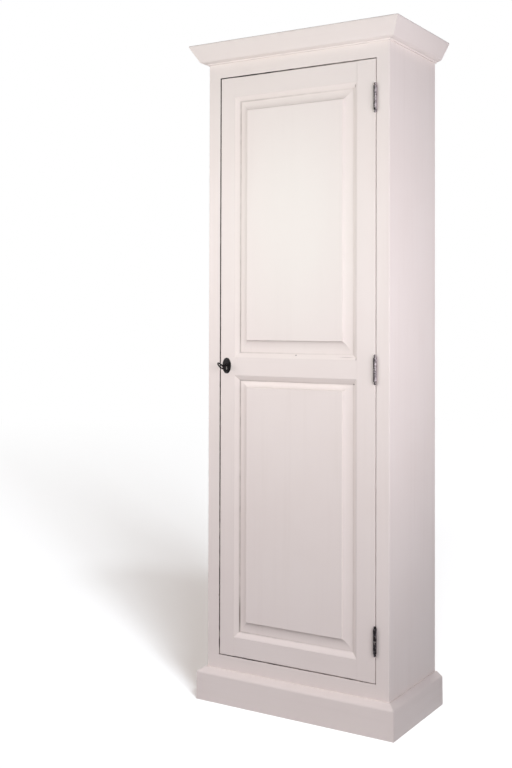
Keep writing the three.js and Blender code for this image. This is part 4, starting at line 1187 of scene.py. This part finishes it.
def floor_material():
    """Lit share s, glow 1 - s, where s falls from 0.62 at the cupboard to nothing far off.

    The tint lets a little more red through in the shadow, which makes it a warm grey. Rays
    that only carry light meet a floor of brightness 0.30, which falls to nothing at 2.2 m.
    """
    material, tree, surface = blank_material("floor")
    tree.nodes.remove(surface)
    seen = seen_by_eye(tree)
    place = add_node(tree, "TexCoord").outputs["Object"]
    distance = add_node(tree, "VectorMath", {0: place}, operation="LENGTH").outputs["Value"]
    share = add_node(tree, "ValToRGB", {"Fac": rescale(tree, distance, 0, FADE_LENGTH, 0, 1)})
    stops = share.color_ramp.elements
    tint = np.array([0.92, 1.01, 1.08, 1])
    stops[0].position, stops[0].color = LIT_NEAR[0], LIT_NEAR[1] * tint
    stops[1].position, stops[1].color = LIT_NONE, BLACK
    for at, lit_share in LIT_SHARES.items():
        stops.new(at).color = lit_share * tint
    dim = mix_colours(tree, rescale(tree, distance, 0.3, 2.2, 0.30, 0), BLACK, (1, 0.98, 1, 1))
    lit = add_node(tree, "BsdfDiffuse", {"Color": mix_colours(tree, seen, dim, share.outputs[0])})
    filling = add_node(tree, "Invert", {"Color": share.outputs[0]}).outputs[0]
    glow = add_node(tree, "Emission", {"Color": mix_colours(tree, seen, BLACK, filling)})
    both = add_node(tree, "AddShader", {0: lit.outputs[0], 1: glow.outputs[0]})
    tree.links.new(both.outputs[0], tree.nodes["Material Output"].inputs["Surface"])
    return material


floor_mesh = bpy.data.meshes.new("floor")
floor_corners = [(x * FLOOR_HALF, y * FLOOR_HALF, 0) for x, y in ((-1, -1), (1, -1), (1, 1), (-1, 1))]
floor_mesh.from_pydata(floor_corners, [], [(0, 1, 2, 3)])
floor = bpy.data.objects.new("floor", floor_mesh)
floor.data.materials.append(floor_material())
bpy.context.scene.collection.objects.link(floor)
floor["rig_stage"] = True

world = bpy.data.worlds.new("studio")
bpy.context.scene.world = world
world.use_nodes = True
world_tree = world.node_tree
sky = mix_colours(world_tree, seen_by_eye(world_tree), DIM_ROOM, WHITE)
world_tree.links.new(sky, world_tree.nodes["Background"].inputs["Color"])
print("floor laid,", 2 * FLOOR_HALF, "m across")

# %% [markdown]
# ## Light
#
# The main soft box stands at the front right, a weak one at the right lights the side, and
# two at the left fill the front evenly from top to foot. Grids narrow their beams, and they
# stand far enough away that the open door isn't washed out. One more, high up behind, shows
# the back. Five distant lamps, some high and some low, reach the floor alone and draw the
# soft shadow there, because the soft boxes by themselves would draw theirs elsewhere.

# %% Light the cupboard
def soft_box(name, place, aim, width, height, power, colour, spread=180):
    """A rectangular lamp at place, facing aim, in metres and watts; spread is its grid's angle."""
    lamp = bpy.data.lights.new(name, "AREA")
    lamp.shape = "RECTANGLE"
    lamp.size, lamp.size_y, lamp.energy, lamp.color = width, height, power, colour
    lamp.spread = radians(spread)
    box = bpy.data.objects.new(name, lamp)
    bpy.context.scene.collection.objects.link(box)
    away = np.array(place) - np.array(aim)
    away = away / np.linalg.norm(away)
    side = np.cross((0, 0, 1), away)
    side = side / np.linalg.norm(side)
    box.matrix_world = stand(side, np.cross(away, side), away, place)
    return box


def distant_lamp(name, turn_to, rise, width, share_of_floor):
    """A sun that lights the floor alone; its strength makes its share of the floor's white."""
    lamp = bpy.data.lights.new(name, "SUN")
    lamp.angle = radians(width)
    lamp.energy = share_of_floor * pi / np.sin(radians(rise))
    source = bpy.data.objects.new(name, lamp)
    source.rotation_euler = (radians(90 - rise), 0, radians(turn_to))
    bpy.context.scene.collection.objects.link(source)
    source.light_linking.receiver_collection = floor_only


soft_boxes = [
    soft_box("side_lamp", (1.72, -0.18, 1.00), (0, 0, 1.76), 1.1, 1.1, 5.2, (0.935, 0.90, 0.95), 113),
    soft_box("key_lamp", (1.94, -1.47, 1.30), (0, 0, 0.92), 1.1, 1.2, 27.2, (0.99, 0.953, 1), 163),
    soft_box("left_lamp", (-1.46, -1.59, 1.31), (0, 0, -0.25), 1.1, 1.0, 17.0, (1, 0.90, 0.94), 176),
    soft_box("upper_left_lamp", (-0.25, -1.25, 1.70), (0, 0, 1.12), 1.1, 1.0, 6.3, (0.945, 1, 0.95), 158),
    soft_box("back_lamp", (-0.50, 2.00, 2.70), (0, 0.19, 1.3), 1.0, 1.2, 32.0, (1, 0.98, 0.97)),
]
floor_only = bpy.data.collections.new("floor_only")
floor_only.objects.link(floor)
distant_lamp("short_shadow_lamp", 53, 50, 8, 0.22)
distant_lamp("back_shadow_lamp", 24, 35, 10, 0.19)
distant_lamp("low_lamp_1", 42, 8, 12, 0.21)
distant_lamp("low_lamp_2", 48, 8, 9, 0.18)
distant_lamp("low_lamp_3", 53, 8, 7, 0.20)
all_but_floor = bpy.data.collections.new("all_but_floor")
all_but_floor.objects.link(floor)
all_but_floor.collection_objects[0].light_linking.link_state = "EXCLUDE"
for box in soft_boxes:
    box.light_linking.receiver_collection = all_but_floor
print("lamps:", [lamp.name for lamp in bpy.data.lights])

# %% Write the sizes and finish
print("dressed box in metres:", box_as_lists())
